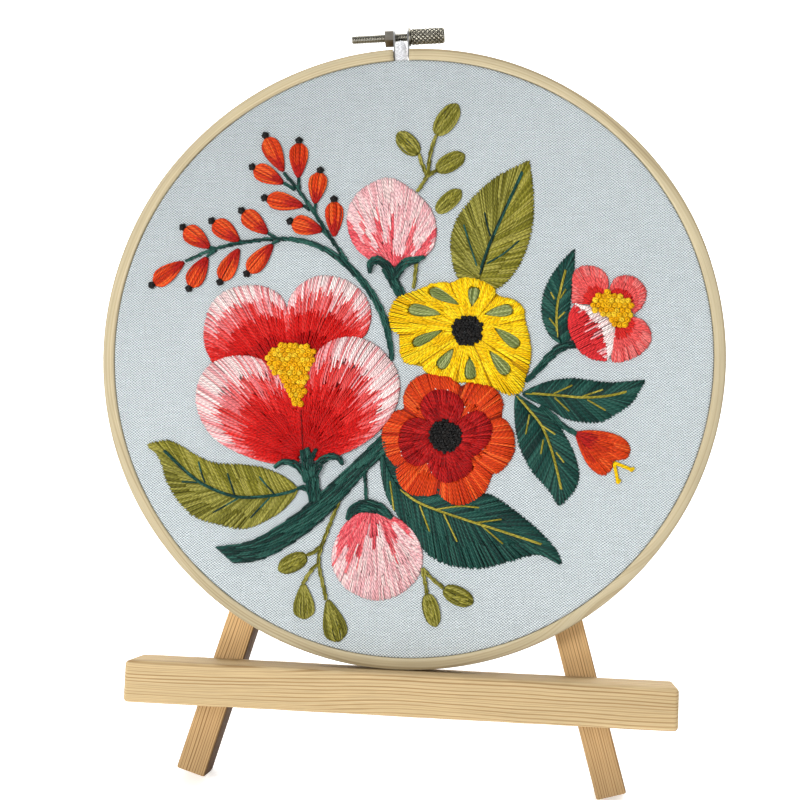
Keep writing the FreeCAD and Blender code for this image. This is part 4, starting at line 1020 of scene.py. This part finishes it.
def berries():
    sewn = Threads(6)
    for base, tip in BERRIES:
        width = sewn.random.uniform(6.0, 6.7)
        sewn.oval(base, tip, width, [ORANGE, ORANGE_LIGHT, ORANGE, ORANGE_DARK], swell=TEARDROP, pad=0.7,
                  foot=linear(178, 26, 26))
        start, run = np.array(base), np.array(tip) - np.array(base)
        side = left_of(run)
        for across, reach in ((-0.8, 0.5), (-0.2, 0.68), (0.5, 0.42), (1.0, 0.56), (0.1, 0.4)):
            end = start + run * reach + side * across * sewn.random.uniform(1.2, 2.2)
            sewn.stitch(start + side * across * 0.3, end, linear(172, 28, 22), 0.6, arch=0.4, width=0.5)
        knot_at = start + run * 1.05
        ahead = run / np.linalg.norm(run)
        sewn.knot(knot_at, BLACK[0], 1.6, 0.4)
        for number, (off, on) in enumerate(((-0.65, 0.1), (0.65, 0.1), (-0.35, -0.55), (0.35, -0.55),
                                            (0, 0.6))):
            sewn.knot(knot_at + side * off + ahead * on, BLACK[number % 3], 1.2, 0.15)
    sewn.finished("berries", ["berry_stitches"])


def olive_leaves():
    sewn = Threads(7)
    rib = Line([(22.6, 25.4), (25.7, 37.6), (29.7, 47.7), (33.6, 57), (37.5, 65.6)])
    sewn.leaf(Line([(21, 24.6), (15.8, 25.6), (13.2, 32.4), (12.8, 40), (15.3, 47.4),
                    (20.6, 54.2), (27, 60), (33, 63.4), (37.5, 65.8)]), rib, OLIVE, 0.62)
    sewn.leaf(Line([(22.8, 24.4), (28, 22.4), (33.4, 27.2), (37.4, 35.1), (39.4, 44.4),
                    (39.4, 53.5), (38.6, 60), (37.6, 65.8)]), rib, OLIVE_LIGHT, 0.5)
    sewn.vein([(22.4, 27), (25.7, 37.6), (29.7, 47.7), (33, 55.6), (35.6, 62)], GREEN, strands=2)
    for line in ([(21.7, 29.6), (19, 37), (16.6, 44)], [(25.8, 39.6), (24.4, 44), (23.4, 48.2)],
                 [(24.6, 30.6), (30, 34), (35.5, 38.9)]):
        sewn.vein(line, GREEN, 0.5)
    rib = Line([(-35, -46.2), (-42.4, -48.4), (-54.1, -49.5), (-63.5, -47.1), (-71.3, -42.8),
                (-80.7, -35.4), (-86.3, -33.4)])
    sewn.leaf(Line([(-35, -46), (-36.8, -44.2), (-40.6, -41.8), (-47, -39.5), (-54.5, -38.7),
                    (-63, -38.6), (-69.4, -36.4), (-75.6, -33), (-80.4, -31.6), (-86.6, -33.2)]), rib,
                    OLIVE_LIGHT, 0.24)
    sewn.leaf(Line([(-35, -46.6), (-36.2, -49), (-40, -53.4), (-45.8, -57.2), (-52.4, -59.8),
                    (-60, -58.9), (-69, -56.6), (-74.8, -51.6), (-78.9, -45.8), (-81.2, -39.8),
                    (-83.4, -35.8), (-86.4, -33.8)]), rib, OLIVE, 0.3)
    sewn.vein([(-33.6, -45.9), (-42.4, -48.4), (-54.1, -49.5), (-63.5, -47.1), (-71.3, -42.8),
               (-80.7, -34.8)], GREEN,
              strands=2)
    for line in ([(-42.4, -48.2), (-45.6, -45), (-48.2, -42.2)],
                 [(-55.8, -49), (-57.4, -45), (-58.8, -41.4)],
                 [(-66, -45.4), (-67.6, -41.6), (-68.7, -38)],
                 [(-54.1, -49.6), (-59, -52.6), (-63.2, -55.2)],
                 [(-43.8, -49), (-47.4, -53), (-50.5, -56.6)], [(-68.2, -45.2), (-74.4, -45.1)]):
        sewn.vein(line, GREEN, 0.5)
    buds = [
        ((6.3, 74.1), (13.2, 84.6), 6.8), ((0.6, 67.4), (-6.7, 74.5), 6.2), ((7, 61.9), (16.1, 67.5), 6.2),
        ((7.6, 47.8), (15.4, 55.4), 5.6), ((-31, -68), (-40.2, -73), 6), ((-31.6, -77), (-30.8, -88.6),
            6.4),
        ((-23.3, -82), (-19.2, -95.4), 7), ((14.7, -76.6), (24.4, -80.8), 6), ((9.3, -78.6), (12.5, -89),
            5.6)]
    for base, tip, width in buds:
        drop = width > 6.3 and base[1] < 0
        sewn.oval(base, tip, width * (1.14 if drop else 1), OLIVE, pad=0.6, swell=DROP if drop else EGG)
        start, run = np.array(base), np.array(tip) - np.array(base)
        ahead, side = run / np.linalg.norm(run), left_of(run)
        for _ in range(16):
            spot = start + run * sewn.random.uniform(0.25, 0.82) + side * sewn.jitter(width * 0.3)
            lean = ahead * 1.2 + side * sewn.jitter(0.25)
            sewn.stitch(spot - lean, spot + lean, sewn.random.choice(OLIVE_LIGHT), 0.62, width=0.55)
    sewn.finished("olive_leaves", ["olive_leaf_stitches"])


def dark_leaves():
    sewn = Threads(8)
    leaves = [
        ([(38.2, -12), (48, -12.1), (57.8, -12.6), (65.8, -11.8), (72, -9.6), (77.7, -6.4)],
         [(38.2, -11.8), (41.4, -9.9), (46.8, -7.6), (53.8, -6.5), (59.2, -6.9), (65.7, -7.5),
          (71.1, -7.1), (77.7, -6.3)],
         [(38.2, -12.4), (41.6, -14.2), (47, -16.4), (51.5, -19.2), (56.9, -20.5), (63.9, -20.2),
          (68.8, -17.4), (73.5, -13.8), (75.9, -9.6), (77.7, -6.5)]),
        ([(36.1, -12.5), (40, -16.8), (44.5, -22.1), (47.5, -28.5), (49.9, -36), (51.2, -43),
          (51.1, -48.2)],
         [(36, -12.5), (35.7, -16.4), (36.5, -24.5), (38.7, -31.6), (42.7, -38), (47.7, -43.3),
          (51, -48.2)],
         [(36.4, -12.4), (41.2, -15.4), (46.7, -19.1), (51.3, -23.8), (55.3, -30.8),
          (57.1, -37.4), (56.2, -42.4), (53, -46.4), (51.2, -48.2)]),
        ([(-7.6, -30.5), (-5.4, -38), (-1, -44.6), (4, -48.2), (11, -51), (21.3, -54),
          (30.8, -56.6), (42, -60), (52.5, -67)],
         [(-7, -29.6), (-3, -35), (3, -40), (12.2, -43.6), (27.5, -45.2), (35.6, -49.6),
          (44.6, -56.4), (50.6, -62.6), (52.6, -67)],
         [(-8.4, -30.4), (-7.4, -39), (-5.2, -47.2), (-0.8, -54), (4, -58.8), (8, -64.4),
          (12, -67.4), (18.6, -69.2), (27.6, -69.2), (36.2, -66.6), (44.8, -64.2), (52.5, -67.2)]),
        ([(50.2, 4.9), (48.6, 10), (48.4, 15), (48.8, 20), (50.2, 27), (53.3, 36.2)],
         [(50.2, 4.8), (46.8, 7.1), (44.4, 11.4), (43.4, 16.9), (44.6, 23.6), (48.2, 30.3), (53.2, 36.2)],
         [(50.6, 4.8), (52.9, 6.7), (52.6, 9.4), (52.2, 13.3), (52.6, 17.1), (52.8, 20.5),
          (53.2, 25.5), (53.6, 31), (53.4, 36.2)])]
    for rib, first, second in leaves:
        middle = Line(rib)
        sewn.leaf(Line(first), middle, GREEN, 0.26, split=13)
        sewn.leaf(Line(second), middle, GREEN, 0.26, split=13)
    veins = [
        [(38.8, -11.8), (48, -12.1), (57.8, -12.6), (65.8, -11.8), (72, -10.2)],
        [(48, -11.8), (54.4, -8.6)],
        [(57.2, -12.4), (64.4, -9.7)], [(48.4, -12.8), (53.6, -17.4)], [(59, -13.2), (65.4, -16.7)],
        [(36.1, -12.5), (40, -16.8), (44.5, -22.1), (47.5, -28.5), (49.9, -36), (51.7, -43)],
        [(40.6, -18.6), (39.5, -25.5)], [(45.4, -26.4), (44.6, -31.9)], [(44.5, -22.1), (49.5, -25.2)],
        [(49.4, -30.6), (52.5, -34.3)],
        [(-4.4, -41.9), (-2.6, -52)],
        [(-1, -44.6), (4, -48.2), (11, -51), (21.3, -54), (30.8, -56.6), (46.1, -60.9)],
        [(5.6, -49.4), (9.4, -58.4)], [(13.6, -52), (18.6, -61.4)],
        [(11, -51), (18.6, -49.6), (25.6, -49.8)],
        [(26, -55.4), (33.6, -61.4)], [(24, -54.8), (33, -53.2)],
        [(48.8, 6.6), (48.3, 13.7), (48.6, 18.7), (49.8, 24.8), (50.9, 29.5)], [(47.5, 19.4), (46.1, 21.9)],
        [(49.2, 19.6), (51.2, 23.2)], [(48.7, 13), (51.2, 15.5)], [(48.4, 10.2), (45.8, 13.4)]]
    for line in veins:
        if len(line) > 4:
            sewn.vein(line, VEIN, width=0.47, strands=2)
        else:
            sewn.vein(line, VEIN, 0.5)
    sewn.finished("dark_leaves", ["dark_leaf_stitches"])


GREEN_STEMS = [     # points, widths, length of a stitch, rise
    ([(-76.8, 29), (-68.1, 33.1), (-58.7, 35.7), (-48.5, 37.3), (-41.7, 37.6)], [0.7, 1.1, 1.3]),
    ([(-42, 37.6), (-34.2, 36.2), (-26.6, 32.7), (-19.6, 27.2), (-13, 19.6), (-8.4, 11), (-6, 2),
      (-5.4, -2.4)], [1.3, 1.6, 2.1, 2.2, 2.2, 1.2], 6),
    ([(-44.8, 60.1), (-39.1, 53.9), (-32.6, 45.2), (-27.5, 37.8), (-21.8, 30.5)], [0.8, 1.0, 1.3]),
    ([(-44.7, 56.5), (-40.6, 54.4)], [0.9, 0.9], 5),
    ([(-39.6, 58.5), (-39, 54)], [0.9, 0.9], 5),
    ([(-33.5, 49.8), (-33.4, 46)], [0.9, 0.9], 5),
    ([(-37.5, 48.9), (-35, 47.6)], [0.9, 0.9], 5),
    ([(-30.7, 40.6), (-28.6, 39)], [0.9, 0.9], 5),
    ([(-49.2, 39.3), (-46, 37.6)], [0.9, 0.9], 5),
    ([(-47.3, 35.6), (-45, 37.2)], [0.9, 0.9], 5),
    ([(-58.7, 36.3), (-56.6, 36)], [0.9, 0.9], 5),
    ([(-69.4, 30.7), (-66.6, 33.2)], [0.9, 0.9], 5),
    ([(-68.7, 34), (-66, 33.6)], [0.9, 0.9], 5),
    ([(-9.6, 28.4), (-7, 25.6), (-5, 22.6), (-2.6, 18.6)], [1.6, 3, 3.4, 3]),
    ([(-13.9, 26.6), (-13.8, 30), (-11.6, 31), (-8.4, 29.2), (-5.4, 25.4)], [0.8, 2.8, 2.8, 3], 4.5, 0.75),
    ([(4.2, 32.6), (1.6, 31.4), (-1.6, 30.6), (-4, 28.2), (-5.2, 25)], [0.6, 2.8, 3, 2.4], 4.5, 0.75),
    ([(-31.8, -38.6), (-30.6, -42), (-29.6, -46), (-28.8, -50)], [3.4, 4.6, 4.4, 3.8], 6, 0.5),
    ([(-43, -39.4), (-40.4, -37.4), (-36.8, -37.6), (-33.6, -39.8), (-31.6, -43.4)], [0.9, 1.9, 2.5, 2.4],
     4.5, 0.95),
    ([(-20.2, -37.4), (-21.8, -35.2), (-24.8, -35), (-27.6, -37), (-29.4, -42)], [0.9, 2.1, 2.6, 2.4], 4.5,
     0.95),
    ([(-33.4, -32.6), (-32.4, -35), (-31.6, -38), (-30.4, -42)], [3.2, 3.8, 4.2, 2.4], 4.5, 1.0),
    ([(-29.2, -32.4), (-30.2, -35), (-31, -37), (-31, -40)], [0.9, 1.5, 1.8], 4.5, 1.05),
    ([(-35.2, -46.2), (-33.3, -45.5), (-30.7, -46.6)], [0.6, 1.7, 1.2]),
    ([(-12.9, -38.6), (-12.4, -44), (-11.9, -50)], [0.9, 0.9]),
    ([(-18, -55.6), (-16.2, -52.2), (-12.4, -50.8), (-7.6, -51.4), (-3, -54.4)], [0.8, 3.4, 4.4, 3.4, 0.8],
     4.5, 0.5),
    ([(55, 5), (50.4, 3.8), (46, 0), (42.6, -4.2), (39, -8)], [2.6, 2.8, 2.2, 1.2], 6),
    ([(43.8, -16), (47.7, -18.7), (51.6, -22.2), (56.2, -24.6)], [1.8, 1.8, 1.4])]
OLIVE_STEMS = [
    [(6.3, 74), (4.6, 67), (4.2, 60.6)],
    [(0.7, 67.3), (2.2, 63.4), (3.8, 60.2)],
    [(7, 61.9), (5.4, 60.8), (4, 59.4)],
    [(4.4, 60.8), (2.6, 57.4), (0.8, 54.4)],
    [(1.5, 31.2), (1.2, 26.6), (0.9, 21.8)],
    [(-20.6, -48.6), (-22.2, -53), (-24.3, -59.1), (-26.4, -65.8), (-26.7, -70.7), (-23.7, -82)],
    [(-26.2, -64.3), (-28.4, -66.4), (-31, -68)],
    [(-26.8, -69.9), (-29.6, -73.2), (-31.8, -77.3)],
    [(7.3, -70.2), (8.4, -74.4), (9.3, -78.5)],
    [(7.5, -70.4), (10.8, -73.6), (14.7, -76.4)]]


def stems():
    sewn = Threads(9)
    sewn.ribbon(Line([(-61.6, -66.4), (-49.2, -63.5), (-37, -55.5), (-29, -48.6), (-17, -36.8),
                      (-7.6, -27)]),
                Line([(-55.1, -71.6), (-44.7, -69.2), (-33.4, -62.2), (-23.8, -53.6),
                      (-13.5, -41), (-4.6, -31.4)]),
                GREEN, 7, 0.3)
    for points, widths, *more in GREEN_STEMS:
        sewn.stem(points, widths, GREEN, *more)
    sewn.finished("green_stems", ["stem_stitches"])
    sewn = Threads(10)
    for points in OLIVE_STEMS:
        sewn.stem(points, [1.1, 1.1], OLIVE, 4)
    sewn.finished("olive_stems", ["stem_stitches"])


# ---------------------------------------------------------------- linen

CLOTH_TURNS = 420        # points around each of its rows
CLOTH_SHEET = 0.3        # its thickness
FACE_EDGE = 98.4         # radius where its flat face ends
FACE_ROWS = 74
HEM_YARNS = 330
CORNER_HALF = 2.1        # half width of its stood-up corner
CORNER_YARNS = 17        # each way


def linen():
    """One round of cloth: drawn tight over the inner ring, down its outside and in behind it."""
    wrap, lining = INNER_RADIUS + 0.3, INNER_BORE - 0.3
    back = -(HOOP_DEPTH - 0.25)
    face = [(r, LINEN_OUT - 0.15) for r in np.linspace(0.6, FACE_EDGE, FACE_ROWS)]
    turned_down = [(98.95, LINEN_OUT - 0.16), (wrap - 0.1, LINEN_OUT - 0.26), (wrap, LINEN_OUT - 0.5)]
    side = turned_down + [(wrap, LINEN_OUT - 0.52)]
    side += [(wrap, out) for out in np.linspace(-2.6, back + 1, 8)]
    rest = [(wrap, back + 0.3), (wrap - 0.4, back), (97.3, back), (lining + 0.4, back),
            (lining, back + 0.4)]
    hem = [(lining, out) for out in np.linspace(back + 1.2, -3.6, 7)]
    profile = face + side + rest + hem
    verts, grain = [], []
    travelled = 0.0
    for index, (radius, out) in enumerate(profile):
        if index:
            travelled += math.dist(profile[index - 1], (radius, out))
        for step in range(CLOTH_TURNS):
            turn = TURN * step / CLOTH_TURNS
            x, y = radius * math.sin(turn), radius * math.cos(turn)
            lift = pleat = 0.0
            if index < len(face):
                lift = 0.05 * noise.noise(Vector((x * 0.06, y * 0.06, 1)))
                lift += 0.05 * (radius / 98) ** 6 * noise.noise(Vector((turn * 30, radius * 0.05, 2)))
            elif index >= len(face) + len(side):
                pleat = 0.22 * noise.noise(Vector((turn * 26, radius * 0.02, 5)))
            if index >= len(profile) - 2:
                lift += 0.7 * noise.noise(Vector((turn * 40, 0, index)))
            near = radius + pleat
            verts.append((near * math.sin(turn), near * math.cos(turn), out + lift))
            grain.append((x, y, 0) if index < len(face) + len(turned_down) else (turn * 99, travelled, 0))
    faces = grid_faces(len(profile), CLOTH_TURNS) + end_caps(len(profile), CLOTH_TURNS)[:1]
    # painted shade: the cloth darker towards its upper left
    upper_left = [(0.8 * y - 0.5 * x) / 98 for x, y, _ in verts]
    tone = [1.02 - 0.085 * (1 + share) - 0.15 * max(0, share - 0.4) for share in upper_left]
    cloth = add_piece("linen", placed(verts), faces, "hoop_inner", LINEN,
                      ["linen_face", "linen_edge"], grain=grain, tint=[(t, t, t, 1) for t in tone])
    thick = cloth.modifiers.new("cloth", "SOLIDIFY")
    thick.thickness = CLOTH_SHEET * MM
    thick.offset = 0
    fringe = Threads(11)
    for _ in range(HEM_YARNS):
        turn = fringe.random.uniform(0, TURN)
        start = (lining - 0.15) * np.array([math.sin(turn), math.cos(turn)])
        drift = turn + fringe.jitter(0.012)
        end = (lining - 0.3 - fringe.random.random() * 0.8) * np.array([math.sin(drift), math.cos(drift)])
        path = [(*start, -3.4), (*((start + end) / 2), -2.8), (*end, -2.4 + fringe.jitter(0.5))]
        fringe.lay(path, 0.16, linear(214, 221, 226), sides=4)
    tuft = fringe_piece(fringe)


def fringe_piece(fringe):
    """Loose yarns at the cloth's cut edge, and the corner of cloth that stands up in the ring's gap."""
    lean = CLAMP_ANGLE
    across = np.array([math.cos(lean), math.sin(lean)])
    radial = np.array([-math.sin(lean), math.cos(lean)])
    for side in CORNER_HALF * np.linspace(-1, 1, CORNER_YARNS):
        for depth in (-1.6, -2.1):
            foot = radial * (RING_BORE - 0.4) + across * side
            height = RING_OUTER + 3.2 - 0.34 * side ** 2 + fringe.jitter(0.25)
            top = radial * height + across * (side * 0.78)
            bend = (foot + top) / 2
            path = [(*foot, depth), (*bend, depth + 0.7), (*top, depth - 0.3)]
            fringe.lay(path, 0.36, linear(250, 250, 252), sides=5, taper=0.8, dark=0.8)
    for row in range(CORNER_YARNS):
        height = RING_BORE + 0.3 + row * 0.36
        half = CORNER_HALF - row * 0.045
        arch = 0.72 * math.sin(math.pi * (row + 1) / 19)
        path = [(*(radial * height + across * s), -1.45 + arch) for s in (-half, 0, half)]
        fringe.lay(path, 0.3, linear(248, 248, 251), sides=5, dark=0.8)
    points = np.vstack(fringe.verts)
    return add_piece("linen_fringe", placed(points), fringe.faces, "hoop_inner", COTTON,
                     grain=np.vstack(fringe.grains), tint=np.vstack(fringe.tints))


# ---------------------------------------------------------------- rings

RING_STEPS = 360
SCARF_AT, SCARF_WIDTH = 2.45, 0.16     # where the strip's two ends overlap, as angles


def section(width, depth, soft, sides=5):
    """A rectangle with rounded corners, as points around zero."""
    points = []
    for cx, cy, start in ((1, 1, 0), (-1, 1, 90), (-1, -1, 180), (1, -1, 270)):
        for step in range(sides):
            turn = math.radians(start + 90 * step / (sides - 1))
            points.append((cx * (width / 2 - soft) + soft * math.cos(turn),
                           cy * (depth / 2 - soft) + soft * math.sin(turn)))
    return points


def ring(name, body, radius, width, depth, out, soft, start, end, look, seed, replaced, wobble):
    """A bent strip from one angle to another, measured from the top, clockwise."""
    outline = section(width, depth, soft)
    count = len(outline)
    closed = end - start > TURN - 1e-6
    verts, grain, tint = [], [], []
    for step in range(RING_STEPS + 1):
        turn = start + (end - start) * step / RING_STEPS
        drift = wobble * noise.noise(Vector((math.cos(turn) * 2, math.sin(turn) * 2, seed)) if closed
                                     else Vector((turn * 2.4, seed, 0)))
        for across, deep in outline:
            far = radius + across + (drift if across > 0 else drift * 0.2)
            verts.append((far * math.sin(turn), far * math.cos(turn), out + deep))
            scarf = 0.0 if closed else 6 * math.exp(-((turn - SCARF_AT) / SCARF_WIDTH) ** 2)
            grain.append((turn * radius, across * 1.1 + scarf, deep * 1.1 + seed * 31))
            shade = 1 + 0.05 * noise.noise(Vector((turn * 9, seed, 4)))
            # painted light and shade: the inner edge lighter, the outer edge darker
            shade *= 1.05 - 0.2 * (across / width + 0.5) ** 3
            tint.append((shade, shade * 0.995, shade * 0.985, 1))
    faces = grid_faces(RING_STEPS + 1, count)
    if not closed:
        faces += end_caps(RING_STEPS + 1, count)
    return add_piece(name, placed(verts), faces, body, look, replaced, grain=grain, tint=tint)


def rings():
    gap = SPLIT_HALF / (RING_OUTER - 2)
    start = -CLAMP_ANGLE + gap
    middle, width = (RING_OUTER + RING_BORE) / 2, RING_OUTER - RING_BORE
    ring("bamboo_outer_ring", "hoop_outer", middle, width, HOOP_DEPTH, -HOOP_DEPTH / 2, 0.7,
         start, start + TURN - 2 * gap, BAMBOO, 1, ["outer_ring"], 0.22)
    middle, width = (INNER_RADIUS + INNER_BORE) / 2, INNER_RADIUS - INNER_BORE - 0.1
    ring("bamboo_inner_ring", "hoop_inner", middle, width, 8.2, -5.3, 0.5, 0, TURN, BAMBOO, 2,
         ["inner_ring"], 0.0)


# ---------------------------------------------------------------- timber


def cut_across(mesh, place, normal):
    """New edges where a plane crosses a mesh."""
    bmesh.ops.bisect_plane(mesh, geom=mesh.verts[:] + mesh.edges[:] + mesh.faces[:],
                           plane_co=place, plane_no=normal, dist=1e-6)


def timber(node, along, look, seed, soft=0.7, shade=1.0, worn=0.0, lift=0.06):
    """A CAD wood part copied with eased edges and grain along it; lift paints shade below, light above."""
    source = frame["nodes"][node]
    mesh = bmesh.new()
    mesh.from_mesh(source.data)
    bmesh.ops.remove_doubles(mesh, verts=mesh.verts, dist=1e-6)
    bmesh.ops.dissolve_limit(mesh, angle_limit=math.radians(2), verts=mesh.verts, edges=mesh.edges)
    sharp = [e for e in mesh.edges if len(e.link_faces) == 2 and e.calc_face_angle(0) > math.radians(35)
             and e.calc_length() > 6 * MM]
    bmesh.ops.bevel(mesh, geom=sharp, offset=soft * MM, segments=3, profile=0.5, affect="EDGES",
                    clamp_overlap=True)
    along = Vector(along).normalized()
    low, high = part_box(node)
    middle = (low + high) / 2
    if worn:
        reach = (high - low).length / 2
        for cut in range(1, 60):
            cut_across(mesh, middle + along * reach * (cut / 30 - 1), along)
        for vert in mesh.verts:
            off = vert.co - middle
            place = off.dot(along) / MM
            corner = Vector((place * 0.035, 9 * (off.z > 0), 9 * (off.y > 0) + seed))
            worn_by = 0.5 + 0.5 * noise.noise(corner) + 0.25 * noise.noise(corner * 4)
            inward = off - along * off.dot(along)
            vert.co -= inward.normalized() * worn * max(0, worn_by) * MM
    if lift > 0.3:      # a strong change of painted light needs more rows of points
        for cut in (0.06, 0.12, 0.18, 0.25):
            cut_across(mesh, low.lerp(high, cut), Vector((0, 0, 1)))
    bmesh.ops.triangulate(mesh, faces=[f for f in mesh.faces if len(f.verts) > 4])
    across = along.cross(Vector((0.1, 1, 0.2))).normalized()
    deep = along.cross(across)
    verts = [v.co.copy() for v in mesh.verts]
    mesh.verts.index_update()
    faces = [tuple(v.index for v in f.verts) for f in mesh.faces]
    mesh.free()
    grain = [((v - middle).dot(along) / MM + seed * 170, (v - middle).dot(across) / MM + seed * 23,
              (v - middle).dot(deep) / MM + seed * 11) for v in verts]
    # painted light and shade: darker at the lower end, lighter from a quarter of the way up
    shades = [shade * (1 - lift / 2 + lift * min(1, 4 * (v.z - low.z) / (high.z - low.z))) for v in verts]
    tint = [(s, s * 0.99, s * 0.97, 1) for s in shades]
    made = add_piece(node + "_wood", [tuple(v) for v in verts], faces, source["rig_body"], look,
                     [node], grain=grain, tint=tint)
    made.data.set_sharp_from_angle(angle=math.radians(32))


def foot_direction(node):
    """Along a front leg, from its foot up."""
    leg_x, ledge_x = (sum(corner.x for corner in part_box(name)) for name in (node, "ledge"))
    side = 1 if leg_x > ledge_x else -1
    spread = math.radians(LEG_SPREAD)
    return UP * math.cos(spread) - RIGHT * side * math.sin(spread)


def easel():
    # lift: painted light on the upper parts and painted shade on the lower ends, strongest on the front legs
    timber("ledge", RIGHT, PINE, soft=0.9, seed=1, shade=1.02, worn=0.5, lift=0.16)
    for node, look, seed in (("left_front_leg", LEFT_LEG_PINE, 3), ("right_front_leg", LEG_PINE, 4)):
        timber(node, foot_direction(node), look, seed, shade=1.12, lift=0.56)
    timber("top_crossbar", RIGHT, PINE, soft=0.5, seed=6, shade=0.97)
    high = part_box("rear_leg")[1]
    pin = Vector(JOINTS["rear_leg_fold"]["pos_m"])
    timber("rear_leg", pin - Vector((pin.x, high.y - 6 * MM, 0)), PINE, seed=8)


# ---------------------------------------------------------------- clamp


def turned(name, rows, around, replaced, place):
    """Rings of points about the clamp screw's axis; place gives distance along, radius and painted shade."""
    third = SCREW_AXIS.cross(OUT)
    verts, tint = [], []
    for row in range(rows):
        for step in range(around):
            turn = TURN * step / around
            along, radius, shade = place(row, turn)
            verts.append(tuple(SCREW_POS + (SCREW_AXIS * along + OUT * radius * math.cos(turn)
                                            + third * radius * math.sin(turn)) * MM))
            tint.append((shade, shade, shade, 1))
    faces = grid_faces(rows, around) + end_caps(rows, around)
    return add_piece(name, verts, faces, "thumb_screw", GUNMETAL, replaced, tint=tint)


HEAD_START, HEAD_LENGTH, HEAD_RADIUS, HEAD_ROWS = 3.1, 11.5, 2.7, 93     # start is along the axis
KNURL_DEPTH, KNURL_LEAN = 0.42, 2.1
SHANK_START, SHANK_END, THREAD_PITCH = -17.0, 3.2, 0.55
SHANK_ROWS = int((SHANK_END - SHANK_START) / THREAD_PITCH * 8)           # eight to a turn


def knurled(row, turn):
    """The screw's head, with grooves that cross in diamonds, painted shade in them, and eased ends."""
    share = row / (HEAD_ROWS - 1)
    along = HEAD_START + HEAD_LENGTH * share
    edge = min(share, 1 - share) * HEAD_LENGTH
    if edge < 0.4:
        return along, HEAD_RADIUS - 0.35 + 0.2 * edge / 0.4, 0.7
    phase = along * KNURL_LEAN
    cut = min(abs(math.sin(turn * 5 + phase)), abs(math.sin(turn * 5 - phase)))
    raised = min(1, cut * 1.6)
    # painted shade: dark in the grooves, full colour on the ridges
    return along, HEAD_RADIUS - KNURL_DEPTH * (1 - raised), 0.12 + 0.88 * raised ** 1.2


def threaded(row, turn):
    """The screw's shank, with a helical thread that fades in at its tip and painted shade in its groove."""
    along = SHANK_START + (SHANK_END - SHANK_START) * row / (SHANK_ROWS - 1)
    crest = abs(((along / THREAD_PITCH - turn / TURN) % 1) * 2 - 1)
    soft = min(1, (along - SHANK_START) / 0.4 + 0.35)
    # painted shade: darker in the thread's groove than on its crest
    return along, (1.26 + 0.18 * crest) * (0.8 + 0.2 * soft), 0.3 + 0.7 * crest


def clamp():
    turned("knurled_head", HEAD_ROWS, 144, ["thumb_screw"], knurled)
    turned("threaded_shank", SHANK_ROWS, 28, (), threaded)


def dress_cad():
    """Materials and small eased edges for the CAD parts that stay in sight."""
    for node, look in CAD_LOOKS.items():
        source = frame["nodes"][node]
        source.data.materials.clear()
        source.data.materials.append(look)
        soft = source.modifiers.new("eased", "BEVEL")
        soft.width = 0.12 * MM
        soft.segments = 2
        soft.limit_method = "ANGLE"
        soft.angle_limit = math.radians(40)


# ---------------------------------------------------------------- stage


def floor():
    """A white sweep, which glows a little where it is far off."""
    mesh = bpy.data.meshes.new("floor")
    profile = [(FLOOR_FRONT, 0.0), (FLOOR_BACK, 0.0)]
    profile += [(FLOOR_BACK + SWEEP_RADIUS * math.sin(a), SWEEP_RADIUS * (1 - math.cos(a)))
                for a in np.linspace(0.1, math.pi / 2, 12)] + [(FLOOR_BACK + SWEEP_RADIUS, SWEEP_TOP)]
    verts = [(x, y, z) for y, z in profile for x in (-FLOOR_HALF, FLOOR_HALF)]
    faces = [(2 * i, 2 * i + 1, 2 * i + 3, 2 * i + 2) for i in range(len(profile) - 1)]
    mesh.from_pydata(verts, [], faces)
    mesh.polygons.foreach_set("use_smooth", [True] * len(faces))
    look = Look("paper", roughness=0.9)
    where = look.node("TexCoord").outputs["Object"]
    away = look.vector("LENGTH", where, output="Value")
    glow = look.node("MapRange", away, 0.5, 1.3, 0.45, 1.0).outputs["Result"]
    look.give(look.shader, **{"Emission Color": (1, 1, 1, 1), "Emission Strength": glow})
    mesh.materials.append(look.done(look.grey(look.noise(where, 3.0), 0.92, 0.95)))
    linked("floor", mesh)


bpy.context.scene.view_settings.view_transform = "Standard"
add_camera()
add_world(WORLD_LIGHT)
for light in AREA_LIGHTS:
    add_area(*light)
floor()
easel()
rings()
linen()
big_flower()
yellow_flower()
orange_flower()
pink_buds()
right_flower()
berries()
olive_leaves()
dark_leaves()
stems()
clamp()
dress_cad()
